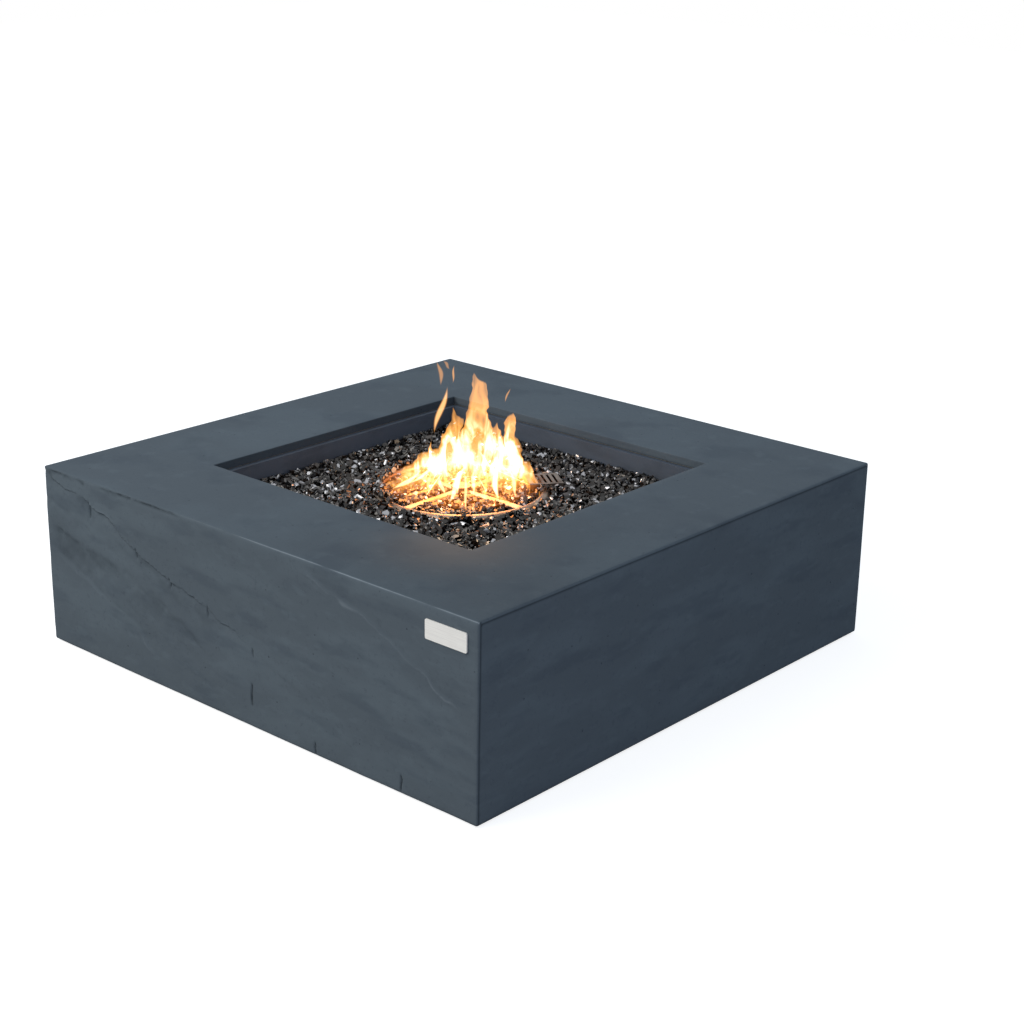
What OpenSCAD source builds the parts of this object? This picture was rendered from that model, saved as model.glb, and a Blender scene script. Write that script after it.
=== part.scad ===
// Square gas fire pit table. A thin-walled concrete shell carries a steel fire pan under its
// opening. A ring burner lies in a bed of fire glass in the pan, and the gas controls sit in a
// recessed panel in the rear wall. Sizes are in millimetres. The origin is on the floor at the
// middle of the table, +Z is up, the badge is on the -Y side and the controls are on the +Y side.

/* [Concrete shell] */
// Outer side of the square table
table_side = 920; // [880:5:1000]
// Height of the table top above the floor
table_height = 294; // [284:1:334]
// Thickness of the side walls
wall = 18; // [16:0.5:24]
// Thickness of the top slab
slab = 13.5; // [13:0.5:20]
// Width of the slab round the square opening
rim_width = 186; // [170:1:200]
// Rounding of the upright outer corners
corner_radius = 3; // [1:0.5:6]
// Side of the cast block in each inner corner
foot_block = 64; // [60:1:80]
// Height of the cast block in each inner corner
foot_block_height = 40; // [30:1:60]

/* [Feet] */
// Radius of a rubber foot
foot_radius = 25; // [20:0.5:28]
// Height of a rubber foot
foot_height = 12; // [11:0.5:16]
// Rubber left between the screw head and the block
foot_web = 4; // [3:0.5:5]
// Clear height between the walls and the floor
floor_gap = 3; // [2:0.5:8]
// Radius of the recess for the screw head
foot_recess_radius = 9; // [7.5:0.5:12]

/* [Screws and inserts] */
// Shank radius of the screws in the concrete
screw_radius = 3; // [2.5:0.1:3.5]
// Corner radius of a hexagon head
screw_head_radius = 5.8; // [5:0.1:6.5]
// Height of a hexagon head
screw_head_height = 4; // [3:0.5:5]
// How far a screw reaches into its insert
screw_grip = 8; // [6:0.5:9]
// Outer radius of a threaded insert
insert_radius = 4.5; // [4:0.1:5.5]
// Length of a threaded insert
insert_length = 10; // [9.5:0.5:11]
// Outer radius of a washer
washer_radius = 9; // [8:0.5:11]
// Thickness of a washer
washer_thickness = 1.2; // [0.8:0.1:2]
// Radial room round a screw in sheet metal
screw_room = 0.4; // [0.2:0.1:0.8]

/* [Fire pan] */
// Step from the edge of the opening in to the pan wall
pan_reveal = 9; // [4:0.5:12]
// Sheet thickness of the pan
pan_sheet = 2; // [1.5:0.25:3]
// Width of the pan flange under the slab
pan_flange_width = 30; // [24:1:40]
// Underside of the pan below the table top
pan_drop = 110; // [105:1:118]
// Thickness of the heat-resistant gasket
gasket_thickness = 1.5; // [1:0.25:3]
// Gasket edge back from the opening and from the flange edge
gasket_inset = 2; // [1:0.5:4]
// Distance of the flange screws from the middle of a side
pan_screw_spread = 160; // [120:5:220]
// Radius of a drain hole in the pan floor
drain_radius = 3; // [2:0.5:5]
// Distance of a drain hole from the pan walls
drain_inset = 40; // [25:1:60]

/* [Burner] */
// Diameter of the burner ring at the middle of its tube
ring_diameter = 266; // [240:2:290]
// Outer diameter of the ring tube
ring_tube = 16; // [14:0.5:18]
// Outer diameter of the spoke tubes
spoke_tube = 13; // [12:0.5:14]
// Wall of the burner tubes
tube_wall = 1.5; // [1:0.25:2]
// Middle of the ring below the table top
ring_drop = 46; // [44:1:52]
// Outer radius of the hub
hub_radius = 16; // [15:0.5:20]
// Height of the hub
hub_height = 22; // [20:1:26]
// Outer radius of the burner nipple
nipple_radius = 10.5; // [9.5:0.25:11.5]
// Wall of the burner nipple
nipple_wall = 2.5; // [1.5:0.25:3.5]
// How far the nipple reaches below the pan
nipple_reach = 34; // [30:1:40]
// Radius of a flame port
port_radius = 1.3; // [1:0.1:1.6]
// Flame ports round the ring
ring_ports = 40; // [24:4:48]
// Flame ports along each spoke
spoke_ports = 4; // [2:1:6]
// Corner radius of the nipple locknuts
locknut_radius = 16; // [15:0.5:18]
// Thickness of the nipple locknuts
locknut_height = 8; // [6:0.5:10]

/* [Fire glass] */
// Top of the level bed of fire glass below the table top
glass_drop = 51; // [50:0.5:52]
// Height of a heap of glass on the bed
heap_height = 4; // [3:0.25:4.25]
// Radius of a heap at its foot
heap_radius = 27; // [22:0.5:29]
// Radius of a heap at its flat top
heap_crown = 13; // [8:0.5:16]
// Spacing of the heaps
heap_pitch = 61; // [58:0.5:66]
// How far a heap lies off its regular place
heap_shift = 3; // [0:0.5:4]
// Sides of a heap
heap_sides = 7; // [5:1:9]
// Room between the glass bed and what stands in it
glass_room = 0.3; // [0.2:0.1:1]

/* [Gas mixer] */
// Outer radius of the air mixer
mixer_radius = 14; // [13.5:0.5:17]
// Length of the air mixer below the nipple
mixer_length = 66; // [60:1:70]
// Length of nipple held in the mixer
mixer_socket = 14; // [10:1:18]
// Bore radius of the mixer throat
throat_radius = 8; // [7:0.25:9]
// Radius of the air windows
air_window_radius = 5; // [4:0.25:6]
// Air windows above the lower end of the mixer
air_window_height = 18; // [16:0.5:24]
// Length of the jet held in the mixer
jet_spigot = 8; // [6:0.5:10]
// Radius of the gas orifice
jet_orifice = 0.8; // [0.5:0.1:1.2]
// Thickness of the hexagon of the jet
jet_hex_height = 10; // [8:0.5:12]
// Corner radius of the hexagon of the jet
jet_hex_radius = 12; // [10.5:0.5:13]
// Side of the cube of the jet elbow
elbow_side = 24; // [20:1:26]
// Length of the threaded end of the elbow
elbow_end = 14; // [12:0.5:18]
// Bore radius of gas fittings
gas_bore = 3; // [2:0.25:3.5]

/* [Gas unions] */
// Radius of the threaded ends of gas fittings
union_radius = 8.4; // [7.5:0.1:9]
// Corner radius of the union nuts
union_nut_radius = 11.5; // [11:0.25:12.5]
// Thread covered by a union nut
union_thread = 4; // [3:0.5:5]
// Length of a union nut past the thread
union_skirt = 8; // [6:0.5:9]
// Radius of the flexible burner hose
hose_radius = 5.5; // [4.5:0.25:6]
// Radius of the inlet tube
tube_radius = 4; // [3.5:0.25:4.5]
// Wall of the inlet tube
tube_thickness = 1; // [0.75:0.25:1.25]
// Bend radius of the inlet tube
tube_bend = 18; // [15:0.5:18]

/* [Ignition] */
// Direction of the hood from the middle of the table
hood_angle = 53; // [50:1:58]
// Hood size along the radius of the ring
hood_length = 54; // [50:1:60]
// Hood size along the ring
hood_width = 52; // [48:1:58]
// Sheet thickness of the hood and its bracket
hood_sheet = 1.5; // [1:0.25:2]
// Top of the hood below the table top
hood_drop = 31; // [28:0.5:32]
// Slots in the top of the hood
hood_slots = 5; // [3:1:5]
// Width of a slot in the hood
slot_width = 4; // [3:0.5:6]
// Distance from slot to slot
slot_pitch = 9; // [7.5:0.5:9.5]
// Length of a slot in the hood
slot_length = 40; // [30:1:42]
// Room between the ring tube and the notches of the hood
notch_room = 5; // [4:0.5:6]
// Height of the bracket shelf above the pan floor
shelf_height = 24; // [20:1:28]
// Width of the bracket
shelf_width = 13; // [13:0.5:15]
// Electrode and thermocouple inward from the ring
probe_inset = 17; // [16.5:0.5:18]
// Electrode and thermocouple apart from each other
probe_spacing = 18; // [15:1:20]
// Radius of the ceramic of the electrode
ceramic_radius = 4; // [3.5:0.25:4.5]
// Radius of the collar of the ceramic
ceramic_collar_radius = 5.5; // [5:0.25:6]
// Height of the collar of the ceramic
ceramic_collar_height = 4; // [3:0.5:6]
// Ceramic above the bracket shelf
ceramic_rise = 30; // [26:1:34]
// Radius of the electrode wire
wire_radius = 1.25; // [1:0.05:1.5]
// Wire above the ceramic
wire_rise = 10; // [8:0.5:12]
// Length of the bent wire tip
wire_tip = 6; // [5:0.5:7]
// Radius of the thermocouple probe
probe_radius = 3; // [2.5:0.25:3.5]
// Thermocouple above the bracket shelf
probe_rise = 42; // [36:1:44]
// Corner radius of the thermocouple collar
probe_collar_radius = 6; // [5:0.25:7]
// Height of the thermocouple collar
probe_collar_height = 8; // [6:0.5:10]
// Electrode and thermocouple ends below the pan
probe_reach = 14; // [12:0.5:18]
// Shank radius of the hood screws
hood_screw_radius = 2; // [1.5:0.1:2.4]
// Head radius of the hood screws
hood_screw_head = 3.5; // [3:0.1:4]
// Head height of the hood screws
hood_screw_head_height = 2; // [1.5:0.25:3]
// Shank length of the hood screws
hood_screw_length = 8; // [5:0.5:9]
// Height of the hood screws above the pan floor
hood_screw_height = 13; // [8:0.5:16]

/* [Control panel] */
// Width of the recess in the rear wall
panel_width = 196; // [180:2:220]
// Height of the recess in the rear wall
panel_height = 86; // [80:1:96]
// Depth of the panel tray behind the wall
panel_depth = 16; // [14:0.5:22]
// Sheet thickness of the panel
panel_sheet = 2; // [1.5:0.25:2.5]
// Width of the panel flange on the wall
panel_flange = 22; // [18:1:28]
// Height of the controls above the floor
panel_z = 130; // [125:1:140]
// Knob to igniter, and knob to gas inlet
control_pitch = 60; // [56:1:66]

/* [Gas valve] */
// Side of the square valve body
valve_side = 36; // [34:1:40]
// Length of the valve body
valve_length = 52; // [50:1:56]
// Radius of the threaded collar
collar_radius = 9; // [8:0.5:10]
// Collar in front of the panel
collar_length = 5; // [4.5:0.5:6]
// Corner radius of the collar nut
collar_nut_radius = 14; // [13:0.5:15]
// Thickness of the collar nut
collar_nut_height = 4; // [3:0.5:4.5]
// Radius of the valve stem
stem_radius = 4; // [3.5:0.25:4.5]
// Travel of the knob when it is pushed
push_travel = 4; // [3:0.5:4.5]
// Radius of the plunger rod
plunger_radius = 3; // [2.5:0.25:3.25]
// Radius of the plunger head
plunger_head_radius = 6.5; // [6:0.1:6.8]
// Thickness of the plunger head
plunger_head_height = 3; // [2:0.5:4]
// Length of the plunger guide
guide_length = 11; // [9:0.5:12]
// Radius of the spring chamber
chamber_radius = 7; // [6.9:0.1:8]
// Length of the spring chamber
chamber_length = 24; // [22:0.5:26]
// Corner radius of the magnet unit
magnet_radius = 12; // [10:0.5:14]
// Length of the magnet unit
magnet_length = 14; // [12:0.5:18]
// Length of the magnet unit held in the valve
magnet_spigot = 3; // [2:0.5:4]
// Length of the inlet and outlet bosses
boss_length = 10; // [8:0.5:12]
// Inlet boss in front of the rear of the valve
inlet_offset = 12; // [10:0.5:13]
// Outlet boss behind the front of the valve
outlet_offset = 13; // [12:0.25:13.25]
// Radial room of a running fit
running_room = 0.05; // [0.02:0.01:0.1]
// Wire radius of the return springs
spring_wire = 0.6; // [0.4:0.05:0.8]
// Mean radius of the valve spring
valve_spring_radius = 5; // [4.5:0.1:5.4]
// Turns of a return spring
spring_turns = 5; // [3:1:6]
// Corner radius of the thermocouple nut
lead_nut_radius = 7; // [6:0.5:8]
// Length of the thermocouple nut
lead_nut_length = 10; // [8:0.5:12]

/* [Knob] */
// Radius of the knob
knob_radius = 22; // [20:0.5:24]
// Length of the knob
knob_length = 22; // [20:0.5:23]
// Gap between the panel and the knob
knob_gap = 6; // [5.5:0.25:7]
// Radius of the hollow in the back of the knob
knob_hollow_radius = 16; // [15.5:0.25:17]
// Depth of the hollow in the back of the knob
knob_hollow_depth = 6; // [5:0.5:7]
// Length of stem held in the knob
stem_hold = 12; // [10:0.5:13]
// Grip flutes round the knob
knob_flutes = 18; // [12:1:24]
// Radius of a grip flute
flute_radius = 2; // [1:0.25:2.5]
// Width of the pointer on the knob
pointer_width = 2.4; // [1.5:0.1:3]
// Length of the pointer on the knob
pointer_length = 11; // [8:0.5:14]
// Depth of the pointer in the knob
pointer_depth = 0.8; // [0.5:0.1:1.2]
// Radius of the set screw
set_screw_radius = 1.5; // [1.25:0.05:2]
// Length of the set screw
set_screw_length = 6; // [5:0.5:9]
// Inner radius of the dial plate
dial_inner = 16; // [15.5:0.25:17]
// Outer radius of the dial plate
dial_outer = 34; // [30:0.5:36]
// Thickness of the dial plate
dial_thickness = 1; // [0.8:0.1:1.2]
// Radius of a dial mark
dial_mark_radius = 1.5; // [1:0.1:2]

/* [Igniter] */
// Outer radius of the igniter body
igniter_radius = 11; // [10.5:0.25:12]
// Radius of the igniter flange
igniter_flange = 15; // [14:0.25:17]
// Thickness of the igniter flange
igniter_flange_height = 3; // [2:0.25:4]
// Length of the igniter body behind the panel
igniter_length = 68; // [66:0.5:72]
// Rear wall of the igniter body
igniter_rear = 4; // [3:0.5:5]
// Radius of the rear terminal
terminal_radius = 3; // [2.5:0.25:4]
// Length of the rear terminal
terminal_length = 8; // [6:0.5:10]
// Corner radius of the igniter nut
igniter_nut_radius = 16; // [14.5:0.5:18]
// Thickness of the igniter nut
igniter_nut_height = 6; // [5:0.5:8]
// Radius of the button
button_radius = 7; // [6.5:0.1:7.2]
// Radius of the button shoulder
button_shoulder = 8; // [7.8:0.1:8.4]
// Thickness of the button shoulder
button_shoulder_height = 4; // [3:0.5:5]
// Travel of the button
button_travel = 5; // [3:0.5:6]
// Button in front of the cap at rest
button_proud = 6; // [5.5:0.5:9]
// Radius of the igniter cap
cap_radius = 13; // [11:0.25:14]
// Thickness of the igniter cap
cap_height = 2; // [1.5:0.25:3]
// Depth of the cap inside the igniter
cap_spigot = 5; // [4:0.5:6]
// Free length of the button spring in the igniter
button_spring_length = 12; // [11:0.5:14]
// Mean radius of the button spring
button_spring_radius = 4.5; // [4:0.1:5]
// Radius of the battery
battery_radius = 5.25; // [5:0.05:5.5]
// Length of the battery
battery_length = 44.5; // [43:0.5:45]
// Radial room round the battery and the button
battery_room = 0.3; // [0.2:0.05:0.5]
// Radial room of the button
button_room = 0.08; // [0.04:0.01:0.1]

/* [Gas inlet] */
// Thread radius of the gas inlet
inlet_radius = 7.9; // [7:0.05:8.2]
// Length of the inlet thread
inlet_length = 18; // [16:0.5:22]
// Corner radius of the inlet hexagon and its locknut
inlet_hex_radius = 13; // [12:0.25:14]
// Thickness of the inlet hexagon
inlet_hex_height = 4; // [3:0.5:6]
// Thickness of the inlet locknut
inlet_locknut_height = 6; // [5:0.5:7]

/* [Heat shield] */
// Width of the heat shield
shield_width = 240; // [220:5:280]
// Height of the heat shield
shield_height = 165; // [155:1:168]
// Sheet thickness of the heat shield
shield_sheet = 1; // [0.8:0.1:1.5]
// Gap between pan flange and heat shield
shield_gap = 14; // [10:0.5:16]
// Width of the bent top of the heat shield
shield_flange = 24; // [22:0.5:28]
// Distance of the shield screws from its middle
shield_screw_spread = 90; // [60:5:100]

/* [Leads] */
// Radius of the spark lead
spark_lead_radius = 2; // [1.5:0.1:2.2]
// Radius of the thermocouple lead
probe_lead_radius = 1.5; // [1.2:0.1:1.6]
// Sideways place of the lead clip
clip_x = 40; // [30:1:50]
// Place of the lead clip towards the controls
clip_y = 190; // [180:1:200]
// Width of the lead clip
clip_width = 28; // [26:1:34]
// Length of the lead clip
clip_length = 12; // [10:1:14]
// Height of the lead clip
clip_height = 9; // [8:0.5:12]
// Leads in the clip apart from each other
clip_spacing = 12; // [10:0.5:14]
// Radial room round a lead in the clip
clip_room = 0.9; // [0.5:0.1:1.2]

/* [Badge] */
// Width of the badge plate
badge_width = 74; // [60:1:90]
// Height of the badge plate
badge_height = 28; // [20:1:36]
// Thickness of the badge plate
badge_thickness = 2; // [1.5:0.25:3]
// Corner rounding of the badge plate
badge_corner = 2.5; // [1:0.25:4]
// Badge from the upright edge of the table
badge_side_gap = 19; // [12:0.5:40]
// Badge below the table top
badge_top_gap = 20; // [16:0.5:40]
// Radius of a stud behind the badge
stud_radius = 1.5; // [1:0.25:2.5]
// Length of a stud behind the badge
stud_length = 8; // [5:0.5:10]

/* [Hidden] */
$fn = 72;

// Cutters run this far past the faces that they cut
over = 1;
corners = [[1, 1], [-1, 1], [-1, -1], [1, -1]];
spoke_turn = 90;
quarters = [0:spoke_turn:270];

half = table_side / 2;
inner_half = half - wall;
open_half = half - rim_width;
slab_z = table_height - slab;
foot_place = inner_half - foot_block / 2;
foot_seat_z = foot_height - foot_web;

pan_half = open_half - pan_reveal;
pan_outer = pan_half + pan_sheet;
flange_half = open_half + pan_flange_width;
flange_top = slab_z - gasket_thickness;
flange_z = flange_top - pan_sheet;
pan_under = table_height - pan_drop;
pan_floor = pan_under + pan_sheet;
flange_screw_line = open_half + pan_flange_width / 2;
pan_screw_places = [
    for (turn = quarters, side = [-1, 1])
        [flange_screw_line * cos(turn) - side * pan_screw_spread * sin(turn),
         flange_screw_line * sin(turn) + side * pan_screw_spread * cos(turn)]
];

ring_radius = ring_diameter / 2;
ring_z = table_height - ring_drop;
nipple_end = pan_under - nipple_reach;
nipple_bore = nipple_radius - nipple_wall;
glass_top = table_height - glass_drop;
heap_top = glass_top + heap_height;
heap_last = floor(2 * (pan_half - glass_room - heap_radius - heap_shift) / heap_pitch);

mixer_end = nipple_end - mixer_length;
jet_z = mixer_end - jet_hex_height;
elbow_z = jet_z - elbow_side / 2;
elbow_reach = elbow_side / 2 + elbow_end;

hood_top = table_height - hood_drop;
notch_top = ring_z + ring_tube / 2 + hood_sheet;
shelf_z = pan_floor + shelf_height;
shelf_top = shelf_z + hood_sheet;
bracket_half = hood_width / 2 - hood_sheet - glass_room;
probe_end = pan_under - probe_reach;
wire_top = shelf_top + ceramic_rise + wire_rise;

panel_y = inner_half - panel_depth;
panel_back = -panel_sheet;
panel_screw_x = panel_width / 2 + panel_sheet + panel_flange / 2;
panel_screw_z = panel_height / 2 + panel_sheet + panel_flange / 2;
igniter_x = -control_pitch;
inlet_x = control_pitch;

// Heights along the valve, measured outwards from the face of the panel
valve_rear = panel_back - valve_length;
chamber_front = valve_rear + chamber_length;
stem_floor = chamber_front + guide_length;
stem_end = stem_floor + push_travel + over;
spring_rear = valve_rear + magnet_spigot;
plunger_back = chamber_front - plunger_head_height;
magnet_rear = valve_rear - magnet_length;
inlet_boss_z = valve_rear + inlet_offset;
outlet_boss_z = panel_back - outlet_offset;
boss_reach = valve_side / 2 + boss_length;
knob_hub = knob_gap + knob_hollow_depth;
knob_front = knob_gap + knob_length;
stem_top = knob_hub + stem_hold;

// Heights along the igniter, measured outwards from the face of the panel
igniter_back = -igniter_length;
cap_back = igniter_flange_height - cap_spigot;
shoulder_back = cap_back - button_shoulder_height;
button_bore_end = shoulder_back - button_spring_length;
battery_back = igniter_back + igniter_rear;
terminal_end = igniter_back - terminal_length;

// Heights along the gas inlet, measured outwards from the face of the panel
inlet_end = panel_back - inlet_locknut_height - union_thread;

shield_y = flange_half + shield_gap;
shield_screw_y = shield_y + shield_sheet + (shield_flange - shield_sheet) / 2;
shield_screw_places = [for (side = [-1, 1]) [side * shield_screw_spread, shield_screw_y]];

badge_x = half - badge_side_gap - badge_width / 2;
badge_z = table_height - badge_top_gap - badge_height / 2;
stud_spread = badge_width / 4;

// Ends of the hose and the leads
hose_start = [0, elbow_reach, elbow_z];
hose_end = [0, panel_y + outlet_boss_z, panel_z - boss_reach];
spark_start = [igniter_x, panel_y + terminal_end, panel_z];
spark_end = hood_point(probe_spacing / 2);
probe_start = [0, panel_y + magnet_rear, panel_z];
probe_lead_end = hood_point(-probe_spacing / 2);
clip_z = pan_under - clip_height / 2;
spark_clip = [clip_x - clip_spacing / 2, clip_y, clip_z];
probe_clip = [clip_x + clip_spacing / 2, clip_y, clip_z];

// Routes, as steps away from the ends and from the clip
hose_from_elbow = [[0, 0, 0], [0, 10, 0], [0, 20, 0], [-4, 54, -2], [-12, 114, -7], [-18, 174, -11]];
hose_to_valve = [[-18, -150, -57], [-10, -90, -57], [0, -44, -56], [0, -22, -50], [0, -6, -34],
    [0, 0, -14], [0, 0, -7], [0, 0, 0]];
spark_from_igniter = [[0, 0, 0], [0, -5, 0], [0, -10, -1], [3, -19, -9], [7, -27, -24], [13, -40, -34],
    [30, -80, -36]];
probe_from_valve = [[0, 0, 0], [0, -6, 0], [0, -12, 0], [0, -18, -1], [2, -27, -9], [5, -35, -24],
    [9, -46, -33], [18, -80, -34]];
lead_through_clip = [[-8, 36, -20], [0, 12, 0], [0, 6, 0], [0, 0, 0], [0, -6, 0], [0, -12, 0]];
lead_to_hood = [[-10, 34, -14], [-4, 12, -25], [0, 0, -16], [0, 0, -8], [0, 0, 0]];

hose_route = concat(steps_from(hose_start, hose_from_elbow), steps_from(hose_end, hose_to_valve));
spark_route = concat(steps_from(spark_start, spark_from_igniter),
    steps_from(spark_clip, lead_through_clip), steps_from(spark_end, lead_to_hood));
probe_route = concat(steps_from(probe_start, probe_from_valve),
    steps_from(probe_clip, lead_through_clip), steps_from(probe_lead_end, lead_to_hood));

// Lower end of an ignition probe, at a distance along the ring from the middle of the hood
function hood_point(along) =
    let (inward = ring_radius - probe_inset)
    [inward * cos(hood_angle) - along * sin(hood_angle),
     inward * sin(hood_angle) + along * cos(hood_angle), probe_end];

function steps_from(place, steps) = [for (step = steps) place + step];

function unit(v) = v / norm(v);

// Point on a smooth curve through the route, between points i and i + 1
function curve_point(route, i, t) =
    let (
        last = len(route) - 1,
        a = route[i],
        b = route[i + 1],
        pull_a = (b - route[max(i - 1, 0)]) / (i == 0 ? 1 : 2),
        pull_b = (route[min(i + 2, last)] - a) / (i + 1 == last ? 1 : 2)
    )
    a * (2 * t ^ 3 - 3 * t ^ 2 + 1) + pull_a * (t ^ 3 - 2 * t ^ 2 + t)
    + b * (3 * t ^ 2 - 2 * t ^ 3) + pull_b * (t ^ 3 - t ^ 2);

function smooth(route, parts) = concat(
    [for (i = [0:len(route) - 2], k = [0:parts - 1]) curve_point(route, i, k / parts)],
    [route[len(route) - 1]]
);

// One ring of points round a path, square to its direction
function path_ring(path, i, radius, sides) =
    let (
        along = unit(path[min(i + 1, len(path) - 1)] - path[max(i - 1, 0)]),
        side = unit([1, 0, 0] - along.x * along),
        up = cross(along, side)
    )
    [for (k = [0:sides - 1])
        path[i] + radius * (cos(360 * k / sides) * side + sin(360 * k / sides) * up)];

// Solid tube swept along a path that nowhere runs along X
module swept_tube(path, radius, sides) {
    rings = len(path);
    points = [for (i = [0:rings - 1]) each path_ring(path, i, radius, sides)];
    walls = [for (i = [0:rings - 2], k = [0:sides - 1]) each
        let (a = i * sides + k, b = i * sides + (k + 1) % sides)
        [[a, a + sides, b], [b, a + sides, b + sides]]];
    first = [for (k = [1:sides - 2]) [0, k, k + 1]];
    base = (rings - 1) * sides;
    last = [for (k = [1:sides - 2]) [base, base + k + 1, base + k]];
    polyhedron(points = points, faces = concat(first, walls, last));
}

// Coil spring round Z from z = 0, with its wire inside the given length
module coil_spring(mean_radius, length) {
    sides = 6;
    ring_count = 10 * spring_turns;
    rise = length - 2 * spring_wire;
    points = [for (i = [0:ring_count], k = [0:sides - 1])
        let (
            turn = 360 * spring_turns * i / ring_count,
            reach = mean_radius + spring_wire * cos(360 * k / sides)
        )
        [reach * cos(turn), reach * sin(turn),
         spring_wire + rise * i / ring_count + spring_wire * sin(360 * k / sides)]];
    walls = [for (i = [0:ring_count - 1], k = [0:sides - 1]) each
        let (a = i * sides + k, b = i * sides + (k + 1) % sides)
        [[a, b, a + sides], [b, b + sides, a + sides]]];
    first = [for (k = [1:sides - 2]) [0, k + 1, k]];
    base = ring_count * sides;
    last = [for (k = [1:sides - 2]) [base, base + k, base + k + 1]];
    polyhedron(points = points, faces = concat(first, walls, last));
}

module rounded_rectangle(width, height, radius) {
    square([width - 2 * radius, height], center = true);
    square([width, height - 2 * radius], center = true);
    for (c = corners)
        translate([c.x * (width / 2 - radius), c.y * (height / 2 - radius)]) circle(radius);
}

// Square plate or block round the Z axis, given by half its side
module block(half_side, low, high) {
    translate([-half_side, -half_side, low]) cube([2 * half_side, 2 * half_side, high - low]);
}

module rod(radius, low, high) {
    translate([0, 0, low]) cylinder(r = radius, h = high - low);
}

module hexagon(corner, low, high) {
    translate([0, 0, low]) cylinder(r = corner, h = high - low, $fn = 6);
}

// Places children in front of the panel, with Z pointing out of it and Y down
module at_panel(x) {
    translate([x, panel_y, panel_z]) rotate([-90, 0, 0]) children();
}

// Places children at the hood, with X outwards along the ring radius and Y along the ring
module at_hood() {
    rotate([0, 0, hood_angle]) translate([ring_radius, 0, 0]) children();
}

module at_feet() {
    for (c = corners) translate([c.x * foot_place, c.y * foot_place, 0]) children();
}

module at_pan_screws() {
    for (p = pan_screw_places) translate([p.x, p.y, 0]) children();
}

module at_shield_screws() {
    for (p = shield_screw_places) translate([p.x, p.y, 0]) children();
}

// Places children at the panel screws, with Z pointing into the wall
module at_panel_screws() {
    for (c = corners)
        translate([c.x * panel_screw_x, inner_half, panel_z + c.y * panel_screw_z])
            rotate([-90, 0, 0]) children();
}

// Hexagon screw along Z, seated at z = 0 with its head below
module hex_screw(length) {
    hexagon(screw_head_radius, -screw_head_height, 0);
    rod(screw_radius, -over, length);
}

// Threaded sleeve with its mouth at z = 0
module insert() {
    difference() {
        rod(insert_radius, 0, insert_length);
        rod(screw_radius + running_room, -over, insert_length + over);
    }
}

module insert_hole() {
    rod(insert_radius, -over, insert_length);
}

module concrete_shell() color("#59636d") difference() {
    union() {
        difference() {
            translate([0, 0, floor_gap])
                linear_extrude(table_height - floor_gap)
                    rounded_rectangle(table_side, table_side, corner_radius);
            block(inner_half, floor_gap - over, slab_z);
        }
        at_feet() block(foot_block / 2, foot_height, foot_height + foot_block_height);
    }
    block(open_half, slab_z - over, table_height + over);
    translate([-panel_width / 2, inner_half - over, panel_z - panel_height / 2])
        cube([panel_width, wall + 2 * over, panel_height]);
    at_feet() translate([0, 0, foot_height]) insert_hole();
    at_pan_screws() translate([0, 0, slab_z]) insert_hole();
    at_shield_screws() translate([0, 0, slab_z]) insert_hole();
    at_panel_screws() insert_hole();
    for (side = [-1, 1])
        translate([badge_x + side * stud_spread, -half, badge_z])
            rotate([-90, 0, 0]) rod(stud_radius + running_room, -over, stud_length);
}

module rubber_feet() color("#1d1d1f") at_feet() difference() {
    rod(foot_radius, 0, foot_height);
    rod(foot_recess_radius, -over, foot_seat_z);
    rod(screw_radius + screw_room, 0, foot_height + over);
}

module foot_screws() color("silver")
    at_feet() translate([0, 0, foot_seat_z]) hex_screw(foot_web + screw_grip);

module foot_inserts() color("goldenrod") at_feet() translate([0, 0, foot_height]) insert();

module badge_plate() color("#c9ccd0") translate([badge_x, -half, badge_z]) rotate([-90, 0, 0]) {
    translate([0, 0, -badge_thickness])
        linear_extrude(badge_thickness) rounded_rectangle(badge_width, badge_height, badge_corner);
    for (side = [-1, 1]) translate([side * stud_spread, 0, 0]) rod(stud_radius, -over, stud_length);
}

module fire_pan() color("#4a4a4d") difference() {
    union() {
        block(flange_half, flange_z, flange_top);
        block(pan_outer, pan_under, flange_top);
    }
    block(pan_half, pan_floor, flange_top + over);
    at_pan_screws() rod(screw_radius + screw_room, flange_z - over, flange_top + over);
    rod(nipple_radius + running_room, pan_under - over, pan_floor + over);
    for (c = corners)
        translate([c.x * (pan_half - drain_inset), c.y * (pan_half - drain_inset), 0])
            rod(drain_radius, pan_under - over, pan_floor + over);
    at_hood() translate([-probe_inset, 0, 0]) {
        translate([0, probe_spacing / 2, 0])
            rod(ceramic_radius + screw_room, pan_under - over, pan_floor + over);
        translate([0, -probe_spacing / 2, 0])
            rod(probe_radius + screw_room, pan_under - over, pan_floor + over);
    }
}

module pan_gasket() color("#8d8a80") difference() {
    block(flange_half - gasket_inset, flange_top, slab_z);
    block(open_half + gasket_inset, flange_top - over, slab_z + over);
    at_pan_screws() rod(screw_radius + screw_room, flange_top - over, slab_z + over);
}

module pan_screws() color("silver") at_pan_screws() translate([0, 0, flange_z - washer_thickness])
    hex_screw(washer_thickness + pan_sheet + gasket_thickness + screw_grip);

module pan_washers() color("silver") at_pan_screws() difference() {
    rod(washer_radius, flange_z - washer_thickness, flange_z);
    rod(screw_radius + screw_room, flange_z - washer_thickness - over, flange_z + over);
}

module slab_inserts() color("goldenrod") {
    at_pan_screws() translate([0, 0, slab_z]) insert();
    at_shield_screws() translate([0, 0, slab_z]) insert();
}

module spokes(radius, reach) {
    for (turn = quarters)
        rotate([0, 0, turn]) translate([0, 0, ring_z]) rotate([0, 90, 0]) rod(radius, 0, reach);
}

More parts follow.
